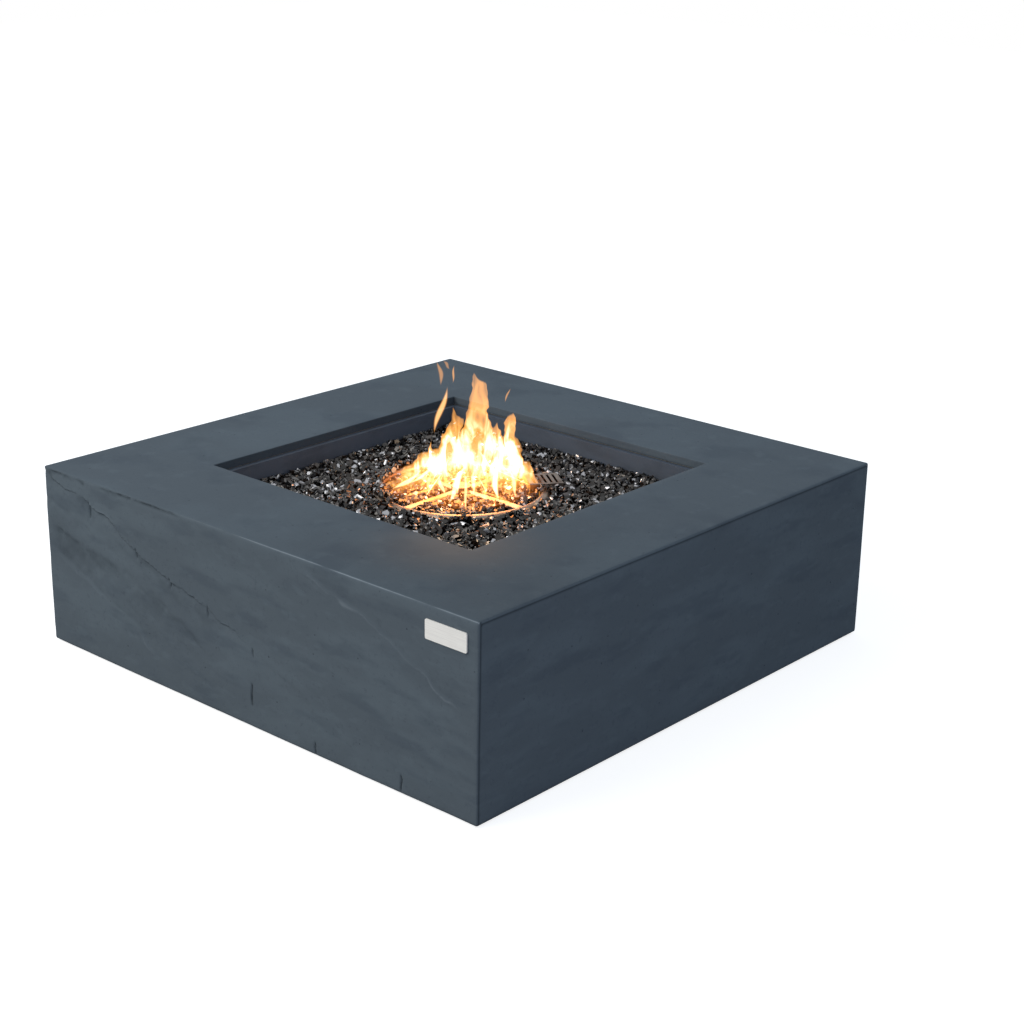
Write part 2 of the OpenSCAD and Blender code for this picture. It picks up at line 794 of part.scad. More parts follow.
module torus(tube_radius) {
    rotate([0, 0, spoke_turn / 2]) translate([0, 0, ring_z])
        rotate_extrude() translate([ring_radius, 0]) circle(tube_radius);
}

// Upright flame ports in the top of the ring and the spokes
module flame_ports() {
    spoke_span = ring_radius - ring_tube / 2 - hub_radius;
    for (i = [0:ring_ports - 1])
        rotate([0, 0, 360 * (i + 0.5) / ring_ports]) translate([ring_radius, 0, 0])
            rod(port_radius, ring_z, ring_z + ring_tube);
    for (turn = quarters, i = [1:spoke_ports])
        rotate([0, 0, turn])
            translate([hub_radius + spoke_span * i / (spoke_ports + 1), 0, 0])
                rod(port_radius, ring_z, ring_z + spoke_tube);
}

module burner() color("#8b8680") difference() {
    union() {
        torus(ring_tube / 2);
        spokes(spoke_tube / 2, ring_radius);
        rod(hub_radius, ring_z - hub_height / 2, ring_z + hub_height / 2);
        rod(nipple_radius, nipple_end, ring_z);
    }
    torus(ring_tube / 2 - tube_wall);
    spokes(spoke_tube / 2 - tube_wall, ring_radius);
    rod(nipple_bore, nipple_end - over, ring_z + hub_height / 2 - nipple_wall);
    flame_ports();
}

module burner_locknuts() color("silver") difference() {
    union() {
        hexagon(locknut_radius, pan_floor, pan_floor + locknut_height);
        hexagon(locknut_radius, pan_under - locknut_height, pan_under);
    }
    rod(nipple_radius + running_room, pan_under - locknut_height - over, pan_floor + locknut_height + over);
}

module air_mixer() color("#9a9da1") difference() {
    rod(mixer_radius, mixer_end, nipple_end + mixer_socket);
    rod(throat_radius, mixer_end - over, nipple_end + over);
    rod(nipple_radius + running_room, nipple_end, nipple_end + mixer_socket + over);
    for (turn = [0, 90])
        translate([0, 0, mixer_end + air_window_height]) rotate([90, 0, turn])
            rod(air_window_radius, -mixer_radius - over, mixer_radius + over);
}

module gas_jet() color("goldenrod") difference() {
    union() {
        hexagon(jet_hex_radius, jet_z, mixer_end);
        rod(throat_radius - running_room, mixer_end - over, mixer_end + jet_spigot);
    }
    rod(gas_bore, jet_z - over, mixer_end + jet_spigot / 2);
    rod(jet_orifice, mixer_end, mixer_end + jet_spigot + over);
}

module jet_elbow() color("goldenrod") difference() {
    union() {
        block(elbow_side / 2, jet_z - elbow_side, jet_z);
        translate([0, 0, elbow_z]) rotate([-90, 0, 0]) rod(union_radius, 0, elbow_reach);
    }
    rod(gas_bore, elbow_z, jet_z + over);
    translate([0, 0, elbow_z]) rotate([-90, 0, 0]) rod(gas_bore, 0, elbow_reach + over);
}

module fire_glass() color("#1b1c20") difference() {
    union() {
        block(pan_half - glass_room, pan_floor, glass_top);
        for (row = [0:heap_last], column = [0:heap_last]) glass_heap(row, column);
    }
    torus(ring_tube / 2 + glass_room);
    spokes(spoke_tube / 2 + glass_room, ring_radius);
    rod(locknut_radius + glass_room, pan_floor - over, pan_floor + locknut_height + glass_room);
    rod(hub_radius + glass_room, pan_floor - over, heap_top + over);
    at_hood() hood_space();
}

// Low heap of glass, a little off its place in the rows, with its corners turned unlike its neighbours'
module glass_heap(row, column) {
    turn = 137 * row + 71 * column;
    place = heap_pitch * ([column, row] - [1, 1] * heap_last / 2) + heap_shift * [cos(turn), sin(turn)];
    translate([place.x, place.y, glass_top - over]) rotate([0, 0, turn])
        cylinder(h = heap_height + over, r1 = heap_radius, r2 = heap_crown, $fn = heap_sides);
}

// Room that the glass leaves for the hood and the heads of its screws
module hood_space() {
    clear_length = hood_length + 2 * glass_room;
    clear_width = hood_width + 2 * (hood_screw_head_height + glass_room);
    translate([-clear_length / 2, -clear_width / 2, pan_floor - over])
        cube([clear_length, clear_width, heap_top - pan_floor + 2 * over]);
}

module ignition_hood() color("#9d9a96") at_hood() difference() {
    translate([-hood_length / 2, -hood_width / 2, pan_floor])
        cube([hood_length, hood_width, hood_top - pan_floor]);
    translate([hood_sheet - hood_length / 2, hood_sheet - hood_width / 2, pan_floor - over])
        cube([hood_length - 2 * hood_sheet, hood_width - 2 * hood_sheet,
            hood_top - hood_sheet - pan_floor + over]);
    notch_half = ring_tube / 2 + notch_room;
    translate([-notch_half, -hood_width / 2 - over, pan_floor - over])
        cube([2 * notch_half, hood_width + 2 * over, notch_top - pan_floor + over]);
    for (i = [0:hood_slots - 1])
        translate([slot_pitch * (i - (hood_slots - 1) / 2) - slot_width / 2, -slot_length / 2,
            hood_top - hood_sheet - over])
            cube([slot_width, slot_length, hood_sheet + 2 * over]);
    translate([-hood_length / 2 - over, hood_sheet - hood_width / 2, heap_top])
        cube([hood_sheet + 2 * over, hood_width - 2 * hood_sheet, hood_top - 2 * hood_sheet - heap_top]);
    hood_screw_holes();
}

module hood_screw_holes() {
    translate([-probe_inset, 0, pan_floor + hood_screw_height]) rotate([90, 0, 0])
        rod(hood_screw_radius + running_room, -hood_width, hood_width);
}

module ignition_bracket() color("#9d9a96") at_hood() difference() {
    translate([-probe_inset - shelf_width / 2, -bracket_half, pan_floor])
        cube([shelf_width, 2 * bracket_half, shelf_height + hood_sheet]);
    translate([-probe_inset - shelf_width / 2 - over, hood_sheet - bracket_half, pan_floor - over])
        cube([shelf_width + 2 * over, 2 * (bracket_half - hood_sheet), shelf_height + over]);
    translate([-probe_inset, probe_spacing / 2, 0])
        rod(ceramic_radius + running_room, shelf_z - over, shelf_top + over);
    translate([-probe_inset, -probe_spacing / 2, 0])
        rod(probe_radius + running_room, shelf_z - over, shelf_top + over);
    hood_screw_holes();
}

module hood_screws() color("silver") at_hood() for (side = [0, 1])
    mirror([0, side, 0])
        translate([-probe_inset, hood_width / 2, pan_floor + hood_screw_height]) rotate([-90, 0, 0]) {
            rod(hood_screw_head, 0, hood_screw_head_height);
            rod(hood_screw_radius, -hood_screw_length, over);
        }

module electrode_ceramic() color("#e8e2d4") at_hood()
    translate([-probe_inset, probe_spacing / 2, 0]) difference() {
        union() {
            rod(ceramic_radius, pan_under - over, shelf_top + ceramic_rise);
            rod(ceramic_collar_radius, shelf_top, shelf_top + ceramic_collar_height);
        }
        rod(wire_radius + running_room, pan_under - 2 * over, shelf_top + ceramic_rise + over);
    }

module electrode_wire() color("#a8a29a") at_hood()
    translate([-probe_inset, probe_spacing / 2, 0]) {
        rod(wire_radius, probe_end, wire_top);
        translate([0, 0, wire_top]) sphere(wire_radius);
        translate([0, 0, wire_top]) rotate([0, 90, 0]) rod(wire_radius, 0, wire_tip);
    }

module thermocouple() color("#b08d57") at_hood()
    translate([-probe_inset, -probe_spacing / 2, 0]) {
        rod(probe_radius, probe_end, shelf_top + probe_rise);
        hexagon(probe_collar_radius, pan_under - probe_collar_height, pan_under);
    }

module control_panel() color("#a9abae") difference() {
    outer_width = panel_width + 2 * panel_sheet;
    outer_height = panel_height + 2 * panel_sheet;
    flange_width = outer_width + 2 * panel_flange;
    flange_height = outer_height + 2 * panel_flange;
    union() {
        translate([-outer_width / 2, panel_y - panel_sheet, panel_z - outer_height / 2])
            cube([outer_width, panel_depth + panel_sheet, outer_height]);
        translate([-flange_width / 2, inner_half - panel_sheet, panel_z - flange_height / 2])
            cube([flange_width, panel_sheet, flange_height]);
    }
    translate([-panel_width / 2, panel_y, panel_z - panel_height / 2])
        cube([panel_width, panel_depth + over, panel_height]);
    at_panel_screws() rod(screw_radius + screw_room, -panel_sheet - over, over);
    at_panel(0) rod(collar_radius + screw_room, panel_back - over, over);
    at_panel(igniter_x) rod(igniter_radius + screw_room, panel_back - over, over);
    at_panel(inlet_x) rod(union_radius + screw_room, panel_back - over, over);
}

module panel_screws() color("silver") at_panel_screws()
    translate([0, 0, -panel_sheet]) hex_screw(panel_sheet + screw_grip);

module panel_inserts() color("goldenrod") at_panel_screws() insert();

module dial_plate() color("#2a2b2d") at_panel(0) difference() {
    rod(dial_outer, 0, dial_thickness);
    rod(dial_inner, -over, dial_thickness + over);
    for (turn = [-90, 0, 90])
        rotate([0, 0, turn]) translate([(knob_radius + dial_outer) / 2, 0, 0])
            rod(dial_mark_radius, -over, dial_thickness + over);
}

module valve_body() color("#b79a55") at_panel(0) difference() {
    union() {
        block(valve_side / 2, valve_rear, panel_back);
        rod(collar_radius, panel_back - over, collar_length);
        translate([0, 0, inlet_boss_z]) rotate([0, 90, 0]) rod(union_radius, 0, boss_reach);
        translate([0, 0, outlet_boss_z]) rotate([-90, 0, 0]) rod(union_radius, 0, boss_reach);
    }
    rod(stem_radius + running_room, stem_floor, collar_length + over);
    rod(plunger_radius + running_room, chamber_front - over, stem_floor + over);
    rod(chamber_radius, valve_rear - over, chamber_front);
    translate([0, 0, inlet_boss_z]) rotate([0, 90, 0]) rod(gas_bore, 0, boss_reach + over);
    translate([0, 0, outlet_boss_z]) rotate([-90, 0, 0]) rod(gas_bore, 0, boss_reach + over);
}

module collar_nut() color("silver") at_panel(0) difference() {
    hexagon(collar_nut_radius, 0, collar_nut_height);
    rod(collar_radius + running_room, -over, collar_nut_height + over);
}

module magnet_unit() color("#8f9296") at_panel(0) {
    hexagon(magnet_radius, magnet_rear, valve_rear);
    rod(chamber_radius - running_room, valve_rear - over, spring_rear);
}

module thermocouple_nut() color("goldenrod") at_panel(0) difference() {
    hexagon(lead_nut_radius, magnet_rear - lead_nut_length, magnet_rear);
    rod(probe_lead_radius + running_room, magnet_rear - lead_nut_length - over, magnet_rear + over);
}

module valve_spring() color("#c0c4c8") at_panel(0)
    translate([0, 0, spring_rear]) coil_spring(valve_spring_radius, plunger_back - spring_rear);

module valve_plunger() color("#c9ccd0") at_panel(0) {
    rod(plunger_head_radius, plunger_back, chamber_front);
    rod(plunger_radius, chamber_front - over, stem_end);
}

module valve_stem() color("#c9ccd0") at_panel(0) rod(stem_radius, stem_end, stem_top);

module control_knob() color("#202124") at_panel(0) difference() {
    rod(knob_radius, knob_gap, knob_front);
    rod(knob_hollow_radius, knob_gap - over, knob_hub);
    rod(stem_radius + running_room, knob_hub - over, stem_top);
    for (i = [0:knob_flutes - 1])
        rotate([0, 0, 360 * (i + 0.5) / knob_flutes])
            translate([knob_radius + flute_radius / 2, 0, 0])
                rod(flute_radius, knob_gap - over, knob_front + over);
    pointer_shape(over);
    translate([0, 0, (knob_hub + stem_top) / 2]) rotate([-90, 0, 0])
        rod(set_screw_radius + running_room, 0, knob_radius + over);
}

// Bar let into the front of the knob, which shows how far the valve is open
module pointer_shape(above) {
    translate([knob_radius - flute_radius - pointer_length, -pointer_width / 2, knob_front - pointer_depth])
        cube([pointer_length, pointer_width, pointer_depth + above]);
}

module knob_pointer() color("white") at_panel(0) pointer_shape(0);

module set_screw() color("silver") at_panel(0)
    translate([0, 0, (knob_hub + stem_top) / 2]) rotate([-90, 0, 0])
        rod(set_screw_radius, stem_radius, stem_radius + set_screw_length);

module igniter_body() color("#242528") at_panel(igniter_x) difference() {
    union() {
        rod(igniter_flange, 0, igniter_flange_height);
        rod(igniter_radius, igniter_back, over);
        rod(terminal_radius, terminal_end, igniter_back + over);
    }
    rod(button_shoulder + button_room, button_bore_end, igniter_flange_height + over);
    rod(battery_radius + battery_room, battery_back, button_bore_end + over);
}

module igniter_nut() color("#3a3b3e") at_panel(igniter_x) difference() {
    hexagon(igniter_nut_radius, panel_back - igniter_nut_height, panel_back);
    rod(igniter_radius + running_room, panel_back - igniter_nut_height - over, panel_back + over);
}

module igniter_cap() color("#b9bcc0") at_panel(igniter_x) difference() {
    union() {
        rod(cap_radius, igniter_flange_height, igniter_flange_height + cap_height);
        rod(button_shoulder, cap_back, igniter_flange_height + over);
    }
    rod(button_radius + button_room, cap_back - over, igniter_flange_height + cap_height + over);
}

module igniter_button() color("#b3231c") at_panel(igniter_x) {
    rod(button_radius, cap_back - over, igniter_flange_height + cap_height + button_proud);
    rod(button_shoulder, shoulder_back, cap_back);
}

module igniter_spring() color("#c0c4c8") at_panel(igniter_x)
    translate([0, 0, button_bore_end]) coil_spring(button_spring_radius, button_spring_length);

module igniter_battery() color("#6d7176") at_panel(igniter_x)
    rod(battery_radius, battery_back, battery_back + battery_length);

module gas_inlet() color("#b79a55") at_panel(inlet_x) difference() {
    union() {
        hexagon(inlet_hex_radius, 0, inlet_hex_height);
        rod(inlet_radius, 0, inlet_hex_height + inlet_length);
        rod(union_radius, inlet_end, over);
    }
    rod(gas_bore, inlet_end - over, inlet_hex_height + inlet_length + over);
}

module inlet_locknut() color("#b79a55") at_panel(inlet_x) difference() {
    hexagon(inlet_hex_radius, panel_back - inlet_locknut_height, panel_back);
    rod(union_radius + running_room, panel_back - inlet_locknut_height - over, panel_back + over);
}

// Bent tube from the gas inlet to the side of the valve
module bent_tube(radius, extra) {
    turn_y = panel_y + inlet_boss_z + tube_bend;
    turn_x = inlet_x - tube_bend;
    translate([inlet_x, 0, panel_z]) rotate([-90, 0, 0]) rod(radius, turn_y, panel_y + inlet_end + extra);
    translate([turn_x, turn_y, panel_z]) rotate([0, 0, -90])
        rotate_extrude(angle = 90) translate([tube_bend, 0]) circle(radius);
    translate([0, panel_y + inlet_boss_z, panel_z]) rotate([0, 90, 0]) rod(radius, boss_reach - extra, turn_x);
}

module inlet_tube() color("#c7c9cc") difference() {
    bent_tube(tube_radius, 0);
    bent_tube(tube_radius - tube_thickness, over);
}

// Nut along Z whose thread ends at z = 0, with the tube leaving it upwards
module union_nut(inner_radius) {
    difference() {
        hexagon(union_nut_radius, -union_thread, union_skirt);
        rod(union_radius + running_room, -union_thread - over, 0);
        rod(inner_radius + running_room, -over, union_skirt + over);
    }
}

module union_nuts() color("#b79a55") {
    translate(hose_start) rotate([-90, 0, 0]) union_nut(hose_radius);
    translate(hose_end) rotate([180, 0, 0]) union_nut(hose_radius);
    at_panel(inlet_x) translate([0, 0, inlet_end]) rotate([180, 0, 0]) union_nut(tube_radius);
    at_panel(0) translate([boss_reach, 0, inlet_boss_z]) rotate([0, 90, 0]) union_nut(tube_radius);
}

module burner_hose() color("#9fa3a8") swept_tube(smooth(hose_route, 3), hose_radius, 10);

module spark_lead() color("#7d1f1a") swept_tube(smooth(spark_route, 3), spark_lead_radius, 8);

module thermocouple_lead() color("#b87333") swept_tube(smooth(probe_route, 3), probe_lead_radius, 8);

module lead_clip() color("#a9abae") difference() {
    translate([clip_x - clip_width / 2, clip_y - clip_length / 2, pan_under - clip_height])
        cube([clip_width, clip_length, clip_height]);
    translate(spark_clip) rotate([90, 0, 0])
        rod(spark_lead_radius + clip_room, -clip_length, clip_length);
    translate(probe_clip) rotate([90, 0, 0])
        rod(probe_lead_radius + clip_room, -clip_length, clip_length);
}

module heat_shield() color("#8f9296") difference() {
    union() {
        translate([-shield_width / 2, shield_y, slab_z - shield_height])
            cube([shield_width, shield_sheet, shield_height]);
        translate([-shield_width / 2, shield_y, slab_z - shield_sheet])
            cube([shield_width, shield_flange, shield_sheet]);
    }
    at_shield_screws() rod(screw_radius + screw_room, slab_z - shield_sheet - over, slab_z + over);
}

module shield_screws() color("silver") at_shield_screws()
    translate([0, 0, slab_z - shield_sheet]) hex_screw(shield_sheet + screw_grip);

concrete_shell();
rubber_feet();
foot_screws();
foot_inserts();
badge_plate();
fire_pan();
pan_gasket();
pan_screws();
pan_washers();
slab_inserts();
burner();
burner_locknuts();
air_mixer();
gas_jet();
jet_elbow();
fire_glass();
ignition_hood();
ignition_bracket();
hood_screws();
electrode_ceramic();
electrode_wire();
thermocouple();
control_panel();
panel_screws();
panel_inserts();
dial_plate();
valve_body();
collar_nut();
magnet_unit();
thermocouple_nut();
valve_spring();
valve_plunger();
valve_stem();
control_knob();
knob_pointer();
set_screw();
igniter_body();
igniter_nut();
igniter_cap();
igniter_button();
igniter_spring();
igniter_battery();
gas_inlet();
inlet_locknut();
inlet_tube();
union_nuts();
burner_hose();
spark_lead();
thermocouple_lead();
lead_clip();
heat_shield();
shield_screws();
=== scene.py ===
"""Dresses a square gas fire table: slate-like concrete, black fire glass, a lit burner and rear controls.

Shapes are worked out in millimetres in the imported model's frame and put into the meshes in metres. The origin
is on the floor under the middle of the table and +Z is up. The badge is on the -Y side, and the controls are
on the +Y side.
"""
import logging
import math
from dataclasses import dataclass
from enum import Enum
from typing import Any, ClassVar, Mapping, Sequence

import bpy
import numpy as np
from mathutils import Matrix, Vector


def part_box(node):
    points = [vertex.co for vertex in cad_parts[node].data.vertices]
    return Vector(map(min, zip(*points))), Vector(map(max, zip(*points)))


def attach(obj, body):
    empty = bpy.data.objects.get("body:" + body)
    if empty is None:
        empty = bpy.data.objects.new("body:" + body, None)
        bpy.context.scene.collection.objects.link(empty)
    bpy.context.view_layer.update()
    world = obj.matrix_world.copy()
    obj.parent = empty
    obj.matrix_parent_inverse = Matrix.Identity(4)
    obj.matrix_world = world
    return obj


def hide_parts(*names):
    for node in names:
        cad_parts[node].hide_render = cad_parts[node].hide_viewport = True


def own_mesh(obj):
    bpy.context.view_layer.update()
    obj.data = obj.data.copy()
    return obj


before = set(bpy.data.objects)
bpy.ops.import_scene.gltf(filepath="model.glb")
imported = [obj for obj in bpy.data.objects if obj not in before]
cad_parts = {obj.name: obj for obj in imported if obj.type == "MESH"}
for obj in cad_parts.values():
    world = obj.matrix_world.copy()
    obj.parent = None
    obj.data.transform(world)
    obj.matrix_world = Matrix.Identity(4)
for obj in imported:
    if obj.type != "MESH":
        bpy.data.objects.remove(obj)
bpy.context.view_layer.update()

MM = 0.001
LOG = logging.getLogger("fire_table")
TINY = 1e-9
Links = Mapping[str | int, Any]


def linear(hex_colour: str) -> tuple[float, float, float, float]:
    """Turns an sRGB hex colour into Blender's linear RGBA.

    Args:
        hex_colour: Colour such as "#5a646c".

    Returns:
        Linear red, green, blue and an alpha of 1.
    """
    shares = [int(hex_colour[i:i + 2], 16) / 255 for i in (1, 3, 5)]
    return (*(s / 12.92 if s <= 0.04045 else ((s + 0.055) / 1.055) ** 2.4 for s in shares), 1.0)


def add_node(
        tree: bpy.types.NodeTree, kind: str, inputs: Links | None = None, **settings: Any) -> bpy.types.Node:
    """Adds one shader node with its settings, values and links.

    Args:
        tree: Node tree that gets the node.
        kind: Node type without the "ShaderNode" in front.
        inputs: Value, or socket to link from, for each input's name or number.
        **settings: Properties of the node.

    Returns:
        The new node.
    """
    node = tree.nodes.new("ShaderNode" + kind)
    for name, value in settings.items():
        setattr(node, name, value)
    for name, value in (inputs or {}).items():
        if isinstance(value, bpy.types.NodeSocket):
            tree.links.new(value, node.inputs[name])
        else:
            node.inputs[name].default_value = value
    return node


class Pattern(Enum):
    """What drives a layer of a finish: node type, its settings and its output."""

    CLOUD = ("TexNoise", {}, 0)
    SPECKS = ("TexVoronoi", {"feature": "F1"}, "Distance")
    FACETS = ("TexVoronoi", {"feature": "DISTANCE_TO_EDGE"}, "Distance")
    BANDS = ("TexWave", {"wave_type": "BANDS", "bands_direction": "DIAGONAL"}, "Fac")
    ATTRIBUTE = ("Attribute", {}, "Fac")


@dataclass(frozen=True)
class Layer:
    """One pattern of a finish, and what it does to colour, roughness, metal and height.

    Attributes:
        pattern: What the layer is driven by.
        size_mm: Real size of a blot or a cell along X, Y and Z. From band to band it is 0.63 of it. An
            attribute has no size, and gets ones.
        tint: Colour where the layer is full.
        reach: Values of the pattern at which the layer starts and is full.
        share: Share of the tint at full.
        rough: Roughness added at full.
        metal: Metallic added at full.
        bump_mm: Height added at full.
        detail: Octaves of a cloud.
        attribute: Mesh attribute that drives an ATTRIBUTE layer.
    """

    pattern: Pattern
    size_mm: tuple[float, float, float]
    tint: str
    reach: tuple[float, float]
    share: float
    rough: float = 0.0
    metal: float = 0.0
    bump_mm: float = 0.0
    detail: float = 4.0
    attribute: str = ""

    def value(self, tree: bpy.types.NodeTree, coords: bpy.types.NodeSocket) -> bpy.types.NodeSocket:
        """Adds the pattern's nodes.

        Args:
            tree: Node tree of the material.
            coords: Object coordinates in metres.

        Returns:
            Socket that runs from 0, no layer, to 1, full.
        """
        kind, settings, output = self.pattern.value
        if self.pattern is Pattern.ATTRIBUTE:
            source = add_node(tree, kind, attribute_name=self.attribute)
        else:
            per_metre = [1 / (MM * size) for size in self.size_mm]
            scaled = add_node(tree, "Mapping", {"Vector": coords, "Scale": per_metre})
            inputs = {"Vector": scaled.outputs[0], "Scale": 1.0}
            if self.pattern in (Pattern.CLOUD, Pattern.BANDS):
                inputs["Detail"] = self.detail
            source = add_node(tree, kind, inputs, **settings)
        ranged = add_node(
            tree, "MapRange",
            {"Value": source.outputs[output], "From Min": self.reach[0], "From Max": self.reach[1]},
            interpolation_type="SMOOTHSTEP",
        )
        return ranged.outputs["Result"]


@dataclass(frozen=True)
class Finish:
    """A material: its plain values, and the layers laid over them in order.

    Attributes:
        name: Common name of the material and how its surface was made.
        colour: sRGB hex colour under the layers.
        rough: Roughness under the layers.
        metal: Metallic under the layers.
        ior: Index of refraction; metals keep the default.
        layers: Patterns from the lowest to the highest.
        extra: Other constant values of the shader, by socket name.
    """

    name: str
    colour: str
    rough: float
    metal: float = 0.0
    ior: float = 1.5
    layers: tuple[Layer, ...] = ()
    extra: tuple[tuple[str, float], ...] = ()

    def material(self) -> bpy.types.Material:
        """Makes the finish's material at the first call, and finds it again at the next ones.

        Returns:
            The material.
        """
        made = bpy.data.materials.get(self.name)
        if made:
            return made
        made = bpy.data.materials.new(self.name)
        made.use_nodes = True
        tree = made.node_tree
        shader = tree.nodes["Principled BSDF"]
        plain = {"Base Color": linear(self.colour), "Roughness": self.rough, "Metallic": self.metal}
        for name, value in (*plain.items(), ("IOR", self.ior), *self.extra):
            shader.inputs[name].default_value = value
        coords = add_node(tree, "TexCoord").outputs["Object"]
        sums: dict[str, Any] = {**plain, "Height": 0.0}
        for layer in self.layers:
            factor = layer.value(tree, coords)
            if layer.share:
                tinted = add_node(tree, "Math", {0: factor, 1: layer.share}, operation="MULTIPLY").outputs[0]
                colours = {0: tinted, 6: sums["Base Color"], 7: linear(layer.tint)}
                sums["Base Color"] = add_node(tree, "Mix", colours, data_type="RGBA").outputs[2]
            amounts = {"Roughness": layer.rough, "Metallic": layer.metal, "Height": layer.bump_mm * MM}
            for name, amount in amounts.items():
                if amount:
                    added = add_node(
                        tree, "Math", {0: factor, 1: amount, 2: sums[name]},
                        operation="MULTIPLY_ADD", use_clamp=name != "Height",
                    )
                    sums[name] = added.outputs[0]
        for name, value in sums.items():
            if name == "Height" and isinstance(value, bpy.types.NodeSocket):
                bump = add_node(tree, "Bump", {"Height": value, "Distance": 1.0, "Strength": 1.0})
                tree.links.new(bump.outputs[0], shader.inputs["Normal"])
            elif isinstance(value, bpy.types.NodeSocket):
                tree.links.new(value, shader.inputs[name])
        return made


# Concrete cast against a slate mould: matt blue-grey that clouds over a hand's width, with small air holes,
# painted shade in its grooves, cracks and recesses, and paler edges that are partly worn and partly a painted
# highlight. Its sand is finer than the 6 mm grain, which is drawn as coarse as it needs to show.
CONCRETE = Finish(
    "cast_slate_concrete", "#565e64", 0.78, ior=1.45, extra=(("Specular IOR Level", 0.06),), layers=(
        Layer(Pattern.CLOUD, (220, 220, 70), "#5c656b", (0.44, 0.62), 0.75, rough=0.04),
        Layer(Pattern.CLOUD, (110, 110, 32), "#4a525a", (0.50, 0.68), 0.45),
        Layer(Pattern.CLOUD, (32, 32, 14), "#606a70", (0.54, 0.72), 0.28, rough=-0.04, bump_mm=0.10),
        Layer(Pattern.CLOUD, (6, 6, 6), "#484e56", (0.55, 0.75), 0.30, bump_mm=-0.08),
        Layer(Pattern.SPECKS, (30, 30, 30), "#343a40", (0.060, 0.035), 0.5, bump_mm=-0.4),
        # Painted shade: in recesses, cracks and grooves, on the opening's left side, under the edges and
        # towards the slab's front corner.
        Layer(Pattern.ATTRIBUTE, (1, 1, 1), "#22282d", (0.0, 1.0), 0.75, attribute="recess"),
        # Pale edges, partly wear and partly a painted highlight, and painted highlights on the ridges' lips.
        Layer(Pattern.ATTRIBUTE, (1, 1, 1), "#99a2a8", (0.1, 1.0), 0.65, attribute="worn_edge_and_highlight"),
    ))
# Pressed steel in heatproof paint: dull blue-black that heat has clouded. The paint's grain is drawn coarser
# than the real one.
PAN_STEEL = Finish("heatproof_black_steel", "#48515d", 0.58, layers=(
    Layer(Pattern.CLOUD, (90, 90, 40), "#3a414b", (0.45, 0.65), 0.7, rough=0.10),
    Layer(Pattern.CLOUD, (18, 18, 30), "#4e5156", (0.58, 0.75), 0.30),
    Layer(Pattern.CLOUD, (2.5, 2.5, 2.5), "#515965", (0.5, 0.7), 0.30, bump_mm=0.05),
))
# Stainless sheet beside the flames: a dull brownish sheen, blotched nearly black by soot.
HOOD_STEEL = Finish("sooted_stainless", "#6c655f", 0.42, metal=0.9, layers=(
    Layer(Pattern.CLOUD, (30, 30, 14), "#241d18", (0.42, 0.62), 0.8, rough=0.15, metal=-0.4),
    Layer(Pattern.CLOUD, (5, 5, 5), "#6d5b49", (0.55, 0.72), 0.5, bump_mm=0.03),
))
# Crushed glass: nearly black and glossy, with some brown chips, dull grey facets and a few that flash like
# mirrors.
GLASS = Finish("crushed_black_glass", "#0b0a0a", 0.08, ior=1.5, layers=(
    Layer(Pattern.ATTRIBUTE, (1, 1, 1), "#261a12", (0.35, 0.95), 0.9, attribute="chip_tone"),
    Layer(Pattern.ATTRIBUTE, (1, 1, 1), "#2b2a2a", (0.82, 0.84), 0.8, rough=0.10, attribute="facet_tone"),
    Layer(
        Pattern.ATTRIBUTE, (1, 1, 1), "#a3a5aa", (0.900, 0.910), 1.0, rough=0.10, metal=0.85,
        attribute="facet_tone"),
))
# The same glass under the loose chips: dark with dust, with dim facets as wide as a chip.
GLASS_BED = Finish("fire_glass_dust", "#0a0909", 0.4, ior=1.52, layers=(
    Layer(Pattern.FACETS, (9, 9, 9), "#191615", (0.0, 0.3), 0.8, rough=-0.2, bump_mm=2.0),
))
# Stainless tube in the flames: straw and blue-grey heat tints on a soft sheen, under a scale that is drawn
# coarser than the real one.
BURNER_STEEL = Finish("heat_tinted_stainless", "#8d857c", 0.40, metal=1.0, layers=(
    Layer(Pattern.CLOUD, (90, 90, 40), "#7a5a3a", (0.45, 0.65), 0.7, rough=0.08),
    Layer(Pattern.CLOUD, (35, 35, 35), "#4d4c5c", (0.55, 0.72), 0.5, rough=0.06),
    Layer(Pattern.CLOUD, (3, 3, 3), "#5e554c", (0.5, 0.7), 0.4, rough=0.1, bump_mm=0.02),
))
# Brushed stainless sheet: soft streaks along X. Real brush lines are finer than the 1.2 mm that shows here.
STAINLESS = Finish("brushed_stainless", "#8f8d8a", 0.30, metal=1.0, layers=(
    Layer(Pattern.CLOUD, (70, 1.2, 1.2), "#6c6a68", (0.42, 0.62), 0.55, rough=0.12, bump_mm=0.01, detail=2.0),
    Layer(Pattern.CLOUD, (60, 60, 60), "#9c978f", (0.5, 0.7), 0.4, rough=0.05),
))
# Zinc plating: bright bluish metal with a faint yellow bloom. Its crystals are drawn coarser than real ones.
ZINC = Finish("zinc_plated_steel", "#a9abad", 0.32, metal=1.0, layers=(
    Layer(Pattern.CLOUD, (6, 6, 6), "#8a8f98", (0.45, 0.65), 0.6, rough=0.12),
    Layer(Pattern.CLOUD, (1.5, 1.5, 1.5), "#b7b09c", (0.52, 0.7), 0.5, bump_mm=0.02),
))
# Machined brass: dull gold with darker handled patches. The tool marks are drawn coarser than the real ones.
BRASS = Finish("machined_brass", "#b3924f", 0.28, metal=1.0, layers=(
    Layer(Pattern.CLOUD, (0.8, 14, 0.8), "#94763a", (0.42, 0.62), 0.5, rough=0.1, bump_mm=0.01),
    Layer(Pattern.CLOUD, (22, 22, 22), "#7f6a40", (0.52, 0.72), 0.45, rough=0.12),
))
